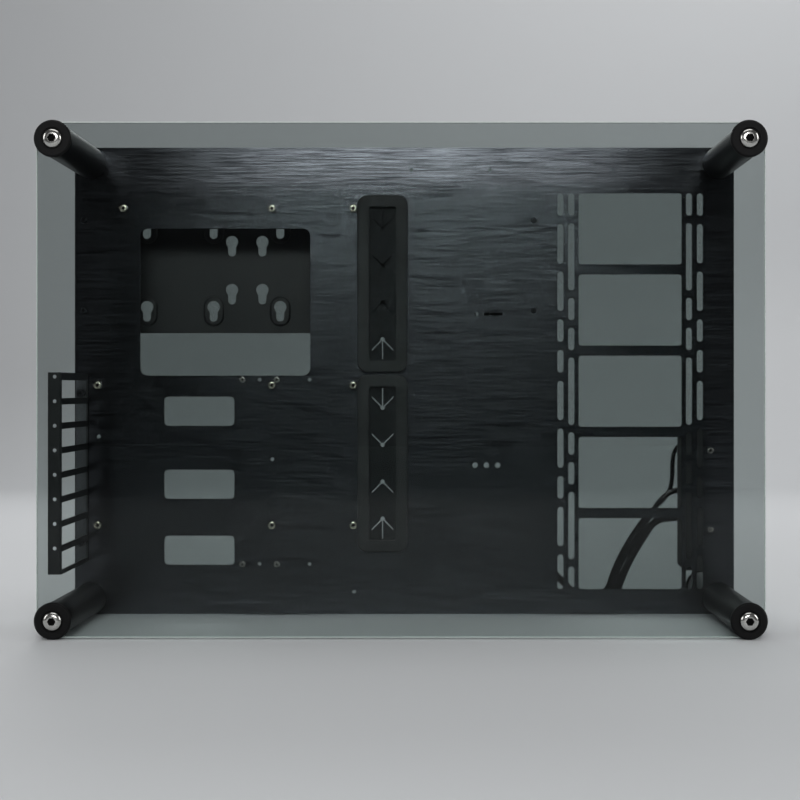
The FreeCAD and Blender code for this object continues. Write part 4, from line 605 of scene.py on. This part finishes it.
# Green solder mask over copper: glossy, with paler raised tracks about 2 mm apart.
solder_mask, tree, where = new_finish("green_solder_mask")
upright = add(tree, "ShaderNodeMapping", {"Vector": where, "Rotation": (math.radians(90), 0, 0)})
tracks = add(tree, "ShaderNodeTexBrick", {
    "Vector": upright, "Scale": 1.0,
    "Mortar Size": 0.35 * MM, "Brick Width": 9 * MM, "Row Height": 2 * MM,
    "Color1": linear("#123f28"), "Color2": linear("#164a30"), "Mortar": linear("#226a44"),
})
add(tree, "ShaderNodeOutputMaterial", {"Surface": add(tree, "ShaderNodeBsdfPrincipled", {
    "Base Color": tracks,
    "Roughness": 0.28,
    "IOR": 1.52,
    "Normal": add(tree, "ShaderNodeBump", {
        "Height": tracks.outputs["Fac"], "Strength": 0.3, "Distance": 0.05 * MM,
    }),
})})

# Sawn glass fibre board: dull yellow-green at the cut edges, with strands about 0.5 mm apart.
board_edge, tree, where = new_finish("sawn_glass_fibre_board")
strands = add(tree, "ShaderNodeTexNoise", {"Vector": where, "Scale": 1 / (0.5 * MM), "Detail": 2.0})
tint = add(tree, "ShaderNodeValToRGB", {"Fac": strands}, stops=((0.3, "#6d7046"), (0.7, "#a3a473")))
add(tree, "ShaderNodeOutputMaterial", {"Surface": add(tree, "ShaderNodeBsdfPrincipled", {
    "Base Color": tint,
    "Roughness": 0.7,
})})


def face_or_edge(centre, normal):
    """The faces of a sheet look forward or back. All else is its edge."""
    return 0 if abs(normal.y) > SQUARE_ON else 1


board = dressed_copy(
    "port_circuit_board", "port_board_dressed", (solder_mask, board_edge), face_or_edge,
    rounding=0.15,
)
fit(board, "board_green", "port_circuit_board")

# Moulded black ABS: satin black with a spark-eroded grain of about 0.5 mm.
black_abs, tree, where = new_finish("moulded_black_abs")
grain = add(tree, "ShaderNodeTexNoise", {"Vector": where, "Scale": 1 / (0.5 * MM), "Detail": 2.0})
tint = add(tree, "ShaderNodeValToRGB", {"Fac": grain}, stops=((0.3, "#131315"), (0.7, "#1c1c1e")))
add(tree, "ShaderNodeOutputMaterial", {"Surface": add(tree, "ShaderNodeBsdfPrincipled", {
    "Base Color": tint,
    "Roughness": add(tree, "ShaderNodeMapRange", {"Value": grain, "To Min": 0.34, "To Max": 0.5}),
    "IOR": 1.53,
    "Normal": add(tree, "ShaderNodeBump", {
        "Height": grain, "Strength": 0.15, "Distance": 0.05 * MM,
    }),
})})
coat(black_abs, "circuit_board_spacers")


# USB sockets: tinned steel shells folded round a black moulded tongue, soldered to the board. Four
# gold plated strips lie on each tongue.

# Tinned steel: pale soft metal with rolling lines along the shell, about 0.4 mm apart.
tinned_steel, tree, where = new_finish("tinned_steel")
rolled = add(tree, "ShaderNodeMapping", {
    "Vector": where, "Scale": (1 / (9 * MM), 1 / (0.4 * MM), 1 / (0.4 * MM)),
})
rolling = add(tree, "ShaderNodeTexNoise", {"Vector": rolled, "Scale": 1.0, "Detail": 2.0})
tint = add(tree, "ShaderNodeValToRGB", {"Fac": rolling}, stops=((0.3, "#a6a5a1"), (0.7, "#c9c8c4")))
add(tree, "ShaderNodeOutputMaterial", {"Surface": add(tree, "ShaderNodeBsdfPrincipled", {
    "Base Color": tint,
    "Metallic": 1.0,
    "Roughness": add(tree, "ShaderNodeMapRange", {"Value": rolling, "To Min": 0.24, "To Max": 0.4}),
})})

# Gold plate: thin and bright over nickel, a little worn in spots of about 1 mm.
gold_plate, tree, where = new_finish("gold_plated_contact")
wear = add(tree, "ShaderNodeTexNoise", {"Vector": where, "Scale": 1 / (1 * MM), "Detail": 1.0})
tint = add(tree, "ShaderNodeValToRGB", {"Fac": wear}, stops=((0.3, "#c99f4d"), (0.7, "#e6c67c")))
add(tree, "ShaderNodeOutputMaterial", {"Surface": add(tree, "ShaderNodeBsdfPrincipled", {
    "Base Color": tint,
    "Metallic": 1.0,
    "Roughness": add(tree, "ShaderNodeMapRange", {"Value": wear, "To Min": 0.15, "To Max": 0.25}),
})})

USB_HEIGHTS = {"lower": 85.6, "upper": 105.6}
TONGUE_FRONT, TONGUE_BACK = 40.85, 42.95
TONGUE_REACH, TONGUE_ROOT = 5.2, 280.5


def shell_or_tongue(centre, normal):
    """The tongue is what lies inside the mouth, clear of the shell's walls."""
    reach = min(abs(centre.z - height) for height in USB_HEIGHTS.values())
    within = TONGUE_FRONT < centre.y < TONGUE_BACK and reach < TONGUE_REACH
    return 1 if within and centre.x > TONGUE_ROOT else 0


for level in USB_HEIGHTS:
    shell = dressed_copy(
        f"{level}_usb_socket", f"{level}_usb_shell", (tinned_steel, black_abs), shell_or_tongue,
        rounding=0.12,
    )
    fit(shell, "socket_metal", f"{level}_usb_socket")

# Each strip dips toward its ends by its bow, which is per metre, times the square of the way there.
tree, sizes = shape_tree("contact_strip", {
    "Strip length": 7.5 * MM, "Strip width": 1.1 * MM, "Strip thickness": 0.2 * MM, "Bow": -7.0,
    "Facing": math.pi,
})
size = add(tree, "ShaderNodeCombineXYZ", {
    "X": sizes["Strip length"], "Y": sizes["Strip width"], "Z": sizes["Strip thickness"],
})
strip = add(tree, "GeometryNodeMeshCube", {"Size": size, "Vertices X": 6})
along = add(tree, "ShaderNodeSeparateXYZ", {0: add(tree, "GeometryNodeInputPosition")}).outputs["X"]
squared = add(tree, "ShaderNodeMath", {0: along, 1: along}, operation="MULTIPLY")
dip = add(tree, "ShaderNodeMath", {0: squared, 1: sizes["Bow"]}, operation="MULTIPLY")
bowed = add(tree, "GeometryNodeSetPosition", {
    "Geometry": strip, "Offset": add(tree, "ShaderNodeCombineXYZ", {"Z": dip}),
})
set_out(tree, bowed, sizes)

STRIP_MIDDLE = 287
STRIP_STEPS = (-3.5, -1, 1, 3.5)
places = [
    (STRIP_MIDDLE, TONGUE_BACK, height + step)
    for height in USB_HEIGHTS.values() for step in STRIP_STEPS
]
fit(baked("usb_contact_strips", tree, places, gold_plate, gold_plate), "socket_metal")


# Audio jacks: black moulded blocks soldered to the board. The round nose that fills the bracket's
# hole and the bore behind it are nickel plated.

NOSE_PLANE = 291.85
BORE, ACROSS_BORE = 1.95, 0.5
JACK_DEPTH = 44.1
JACK_HEIGHTS = {"microphone": 53.6, "headphone": 67.6}


def block_or_nickel(centre, normal):
    """The nickel is the nose and the wall of the bore, whose faces look across the bore."""
    side = centre.y - JACK_DEPTH
    out = min(math.hypot(side, centre.z - height) for height in JACK_HEIGHTS.values())
    return 1 if centre.x > NOSE_PLANE or (abs(normal.x) < ACROSS_BORE and out < BORE) else 0


for kind in JACK_HEIGHTS:
    jack = dressed_copy(
        f"{kind}_jack", f"{kind}_jack_dressed", (black_abs, nickel), block_or_nickel,
        rounding=0.15,
    )
    fit(jack, "black_plastic", f"{kind}_jack")


# Buttons: two black moulded caps that stand proud of the bracket. Each is pushed in by 1.2 mm, and
# a switch on the board is behind it.

coat(black_abs, "power_button", "reset_button", "power_switch", "reset_switch")


# Power lamp: a light-emitting diode moulded in clear epoxy. A black holder that stands on the board
# carries it, and its nose fills a hole of the bracket.

# Clear epoxy: milky white, glossy, with a little haze inside.
lamp_lens, tree, where = new_finish("clear_epoxy_lens")
haze = add(tree, "ShaderNodeTexNoise", {"Vector": where, "Scale": 1 / (1 * MM), "Detail": 1.0})
tint = add(tree, "ShaderNodeValToRGB", {"Fac": haze}, stops=((0.3, "#d3dce2"), (0.7, "#eef2f4")))
add(tree, "ShaderNodeOutputMaterial", {"Surface": add(tree, "ShaderNodeBsdfPrincipled", {
    "Base Color": tint,
    "Roughness": 0.12,
    "IOR": 1.54,
    "Transmission Weight": 0.4,
})})

LENS_HEIGHT, LENS_RADIUS = 136.6, 1.6
LENS_FRONT, LENS_FOOT = 46, NOSE_PLANE - 0.35


def holder_or_lens(centre, normal):
    """The lens is the round nose, as far back as the bracket's hole reaches."""
    within = abs(centre.z - LENS_HEIGHT) < LENS_RADIUS and centre.y > LENS_FRONT
    return 1 if within and centre.x > LENS_FOOT else 0


lamp = dressed_copy(
    "power_lamp", "power_lamp_dressed", (black_abs, lamp_lens), holder_or_lens, rounding=0.12,
)
fit(lamp, "lamp_white", "power_lamp")


# Leads: three round leads with a glossy black jacket run from sockets on the board down behind the
# tray, round under the lowest window and up through two clips. Their plugs hang free for the
# motherboard.

# Glossy PVC jacket: deep black with long soft highlights and a faint ripple, about 3 mm long.
jacket, tree, where = new_finish("glossy_pvc_jacket")
ripple = add(tree, "ShaderNodeTexNoise", {"Vector": where, "Scale": 1 / (3 * MM), "Detail": 2.0})
tint = add(tree, "ShaderNodeValToRGB", {"Fac": ripple}, stops=((0.3, "#0c0c0e"), (0.7, "#151517")))
add(tree, "ShaderNodeOutputMaterial", {"Surface": add(tree, "ShaderNodeBsdfPrincipled", {
    "Base Color": tint,
    "Roughness": add(tree, "ShaderNodeMapRange", {"Value": ripple, "To Min": 0.16, "To Max": 0.28}),
    "IOR": 1.54,
    "Normal": add(tree, "ShaderNodeBump", {
        "Height": ripple, "Strength": 0.1, "Distance": 0.1 * MM,
    }),
})})

# Thickness, distance behind the origin, length and route of each lead. A route point is the
# distance left of the tray's right edge and the height over its foot.
LEADS = {
    "usb": (6.5, 43.25, 490, [
        (38.5, 86), (54, 84.5), (68, 83), (77.5, 70), (87, 54.5), (94.2, 41), (99.7, 27.5),
        (103.2, 16.5), (110.8, 8.4), (121.2, 5.4), (132.3, 8), (142.7, 17.5), (155, 31),
        (168.5, 41), (182, 49.5), (191.5, 59.5), (195, 72), (195.3, 97), (194.8, 132),
        (195.2, 165), (195, 196), (201.6, 207.6), (213, 214), (226, 214.3), (237.2, 208),
        (243.8, 196), (244.2, 172), (243.9, 145), (244.1, 122),
    ]),
    "audio": (5, 49.6, 474, [
        (38.5, 110), (50.5, 110), (62.5, 101.5), (72.4, 86.2), (85, 65), (98, 46), (104.6, 28),
        (107.4, 17.6), (113.8, 10.2), (122.6, 7), (133, 9.4), (143.8, 18.5), (156, 31.5),
        (169.5, 42), (182.5, 50.5), (191.8, 60.5), (195, 73), (195.3, 98), (194.8, 131),
        (195.2, 164), (195, 194), (201, 205.4), (212.5, 212), (226.5, 212.2), (238, 205.6),
        (243.9, 194), (244.2, 171), (244, 149),
    ]),
    "switch": (4, 54.7, 492, [
        (31.5, 152), (42, 152), (49.5, 145.5), (51.5, 134.5), (51.3, 120), (54, 107), (63, 96.5),
        (75.8, 85.5), (89, 67), (99.8, 48), (107.2, 30), (109.8, 20.8), (117.6, 14), (126.4, 11.4),
        (135.8, 13.6), (145.6, 21.8), (157.2, 33), (170.5, 43.5), (183, 52), (192, 62), (195, 74),
        (195.3, 99), (194.8, 132), (195.2, 165), (195, 195), (201.2, 206.2), (212.8, 212.6),
        (226.4, 212.8), (237.9, 206.2), (243.9, 195), (244.1, 180), (244, 166),
    ]),
}
TRAY_EDGE, TRAY_FOOT = 294, 1
for kind, (thickness, depth, length, route) in LEADS.items():
    points = [Vector((TRAY_EDGE - side, depth, TRAY_FOOT + rise)) * MM for side, rise in route]
    path = bpy.data.curves.new(f"{kind}_lead_jacket", "CURVE")
    path.dimensions = "3D"
    path.resolution_u = 10
    path.bevel_depth = thickness * MM / 2
    path.bevel_resolution = 6
    path.use_fill_caps = True
    spline = path.splines.new("NURBS")
    spline.points.add(len(points) - 1)
    for point, place in zip(spline.points, points):
        point.co = (*place, 1)
    spline.order_u = 3
    spline.use_endpoint_u = True
    path.materials.append(jacket)
    lead = bpy.data.objects.new(f"{kind}_lead_jacket", path)
    bpy.context.scene.collection.objects.link(lead)
    fit(lead, "lead_black", f"{kind}_lead")
    socket = dressed_copy(
        f"{kind}_lead_socket", f"{kind}_socket_dressed", (black_abs,), rounding=0.3,
    )
    fit(socket, "black_plastic", f"{kind}_lead_socket")
    plug = dressed_copy(f"{kind}_header_plug", f"{kind}_plug_dressed", (black_abs,), rounding=0.4)
    fit(plug, "black_plastic", f"{kind}_header_plug")

clips = dressed_copy("lead_clips", "lead_clips_dressed", (black_abs,), rounding=0.3)
fit(clips, "black_plastic", "lead_clips")


# Glass panels: two sheets of 5 mm tempered float glass, tinted grey, with ground edges. Rubber
# gaskets part them from the posts.

# Grey tinted float glass: clear and faintly green. One pane lets a little under half the light
# through, and lamps shine through it as through a filter.
tinted_glass, tree, _ = new_finish("grey_tinted_float_glass")
pane = add(tree, "ShaderNodeBsdfPrincipled", {
    "Base Color": linear("#b1b8b7"), "Roughness": 0.0, "IOR": 1.5, "Transmission Weight": 1.0,
    "Specular Tint": linear("#7c7c7c"),
})
through = add(tree, "ShaderNodeBsdfTransparent", {"Color": linear("#d5d9d8")})
shade = add(tree, "ShaderNodeLightPath").outputs["Is Shadow Ray"]
filtered = add(tree, "ShaderNodeMixShader", {0: shade, 1: pane, 2: through})
add(tree, "ShaderNodeOutputMaterial", {"Surface": filtered})

# Ground glass edge: frosted by the wheel along the edge, so that it catches the light as a pale
# line.
ground_edge, tree, where = new_finish("ground_glass_edge")
frost = add(tree, "ShaderNodeTexNoise", {"Vector": where, "Scale": 1 / (1.5 * MM), "Detail": 3.0})
tint = add(tree, "ShaderNodeValToRGB", {"Fac": frost}, stops=((0.3, "#c4cfcb"), (0.7, "#e3ebe8")))
add(tree, "ShaderNodeOutputMaterial", {"Surface": add(tree, "ShaderNodeBsdfPrincipled", {
    "Base Color": tint,
    "Roughness": add(tree, "ShaderNodeMapRange", {"Value": frost, "To Min": 0.3, "To Max": 0.5}),
    "IOR": 1.5,
})})

for side in ("front", "rear"):
    sheet = dressed_copy(
        f"{side}_glass_panel", f"{side}_glass_sheet", (tinted_glass, ground_edge), face_or_edge,
    )
    fit(sheet, "tinted_glass", f"{side}_glass_panel")
coat(rubber, "front_glass_gaskets", "rear_glass_gaskets")


# Glass bolts: eight stainless button head bolts with hexagon sockets. Each goes through a rubber
# ring and the glass into the end of a post. The lower rings are the feet that the case stands on.

# Hard black rubber of the rings: deep black and only faintly shiny, with a moulded grain of about
# 0.8 mm.
ring_rubber, tree, where = new_finish("hard_black_ring_rubber")
grain = add(tree, "ShaderNodeTexNoise", {"Vector": where, "Scale": 1 / (0.8 * MM), "Detail": 2.0})
tint = add(tree, "ShaderNodeValToRGB", {"Fac": grain}, stops=((0.3, "#080809"), (0.7, "#101011")))
add(tree, "ShaderNodeOutputMaterial", {"Surface": add(tree, "ShaderNodeBsdfPrincipled", {
    "Base Color": tint,
    "Roughness": add(tree, "ShaderNodeMapRange", {"Value": grain, "To Min": 0.5, "To Max": 0.65}),
    "Specular IOR Level": 0.15,
    "IOR": 1.52,
    "Normal": add(tree, "ShaderNodeBump", {
        "Height": grain, "Strength": 0.15, "Distance": 0.1 * MM,
    }),
})})
coat(ring_rubber, "front_bumper_rings", "rear_bumper_rings")

tree, sizes = shape_tree("button_head_bolt", {
    "Head radius": 8 * MM, "Head height": 4.5 * MM, "Rounding": 4.2 * MM,
    "Socket corner": 3.46 * MM, "Socket depth": 3 * MM, "Socket edge": 3.48 * MM,
    "Shank": 4 * MM, "Shank length": 27.5 * MM, "Facing": 0.0,
})
head = domed_head(tree, sizes["Head radius"], sizes["Head height"], sizes["Rounding"])
socket_foot = add(tree, "ShaderNodeMath", {
    0: sizes["Head height"], 1: sizes["Socket depth"],
}, operation="SUBTRACT")
socket = rod(tree, sizes["Socket corner"], sizes["Head height"], socket_foot, sides=6)
recessed = cut_recess(tree, head, socket, sizes["Socket edge"], sizes["Head height"])
shank = hung_rod(tree, sizes["Shank"], sizes["Shank length"])
set_out(tree, add(tree, "GeometryNodeJoinGeometry", {0: [recessed, shank]}), sizes)

SEAT = 131
BOLT_COLUMNS = (-280, 280)
BOLT_ROWS = (15, 403)
for side, way, facing in (("front", -1, 0.0), ("rear", 1, math.pi)):
    places = [(x, way * SEAT, z) for x in BOLT_COLUMNS for z in BOLT_ROWS]
    bolts = baked(
        f"{side}_button_head_bolts", tree, places, stainless_steel, painted_recess_shade, Facing=facing,
    )
    fit(bolts, "bolt_steel", f"{side}_glass_bolts")


# The studio: a floor of pale paper that turns up into a backdrop behind the case, with soft lamps
# all round. The camera stands where the photograph's stood. Lengths are in metres.

# Pale studio paper: matt and even.
studio_paper, tree, _ = new_finish("pale_studio_paper")
add(tree, "ShaderNodeOutputMaterial", {"Surface": add(tree, "ShaderNodeBsdfPrincipled", {
    "Base Color": linear("#d3d5d7"),
    "Roughness": 0.6,
})})

FLOOR_FRONT, FLOOR_SIDE = -5.0, 4.5
WALL, WALL_TOP = 2.6, 3.2
TURN, TURN_STEPS = 0.6, 12
angles = [step / TURN_STEPS * math.pi / 2 for step in range(TURN_STEPS + 1)]
turn = [(WALL - TURN * (1 - math.sin(angle)), TURN * (1 - math.cos(angle))) for angle in angles]
profile = [(FLOOR_FRONT, 0.0), *turn, (WALL, WALL_TOP)]
shape = bmesh.new()
rows = [[shape.verts.new((x, y, z)) for y, z in profile] for x in (-FLOOR_SIDE, FLOOR_SIDE)]
for step in range(len(profile) - 1):
    shape.faces.new((rows[0][step], rows[1][step], rows[1][step + 1], rows[0][step + 1]))
for face in shape.faces:
    face.smooth = True
mesh = bpy.data.meshes.new("studio_floor")
shape.to_mesh(mesh)
shape.free()
mesh.materials.append(studio_paper)
floor = bpy.data.objects.new("studio_floor", mesh)
bpy.context.scene.collection.objects.link(floor)

# Place, aim, width and height, and power of each lamp. The key softbox stands over the camera, so
# that the brushed tray draws it down from the top.
LAMPS = {
    "key_softbox": ((-0.02, -2.0, 0.93), (0.0, 0.0, 0.25), (0.94, 0.42), 15.5),
    "left_softbox": ((-1.9, -0.5, 0.9), (0.0, 0.0, 0.2), (0.8, 1.2), 6),
    "right_softbox": ((1.9, -0.3, 0.9), (0.0, 0.0, 0.2), (0.8, 1.2), 8),
    "top_softbox": ((0.0, 0.1, 2.6), (0.0, 0.0, 0.0), (2.4, 1.6), 16),
    "backdrop_wash": ((1.1, 1.2, 2.4), (0.9, 2.6, 1.5), (2.0, 0.6), 24),
    "rear_softbox": ((-0.3, 1.8, 1.4), (0.0, 0.0, 0.2), (1.2, 0.6), 12),
}
for name, (place, aim, size, power) in LAMPS.items():
    light = bpy.data.lights.new(name, "AREA")
    light.shape = "ELLIPSE"
    light.size, light.size_y = size
    light.energy = power
    lamp = bpy.data.objects.new(name, light)
    lamp.location = place
    lamp.rotation_euler = (Vector(aim) - Vector(place)).to_track_quat("-Z", "Y").to_euler()
    bpy.context.scene.collection.objects.link(lamp)

world = bpy.data.worlds.new("studio_world")
bpy.context.scene.world = world
world.use_nodes = True
world.node_tree.nodes["Background"].inputs["Color"].default_value = linear("#f4f5f6")
world.node_tree.nodes["Background"].inputs["Strength"].default_value = 0.08

lens = bpy.data.cameras.new("photo_camera")
lens.lens = 80.0
lens.sensor_width = 36.0
lens.shift_x = -0.046
lens.shift_y = -0.013
camera = bpy.data.objects.new("photo_camera", lens)
camera.location = (0.0289, -1.5595, 0.20115)
camera.rotation_euler = (math.pi / 2, 0, 0)
bpy.context.scene.collection.objects.link(camera)
bpy.context.scene.camera = camera
bpy.context.scene.view_settings.view_transform = "Standard"
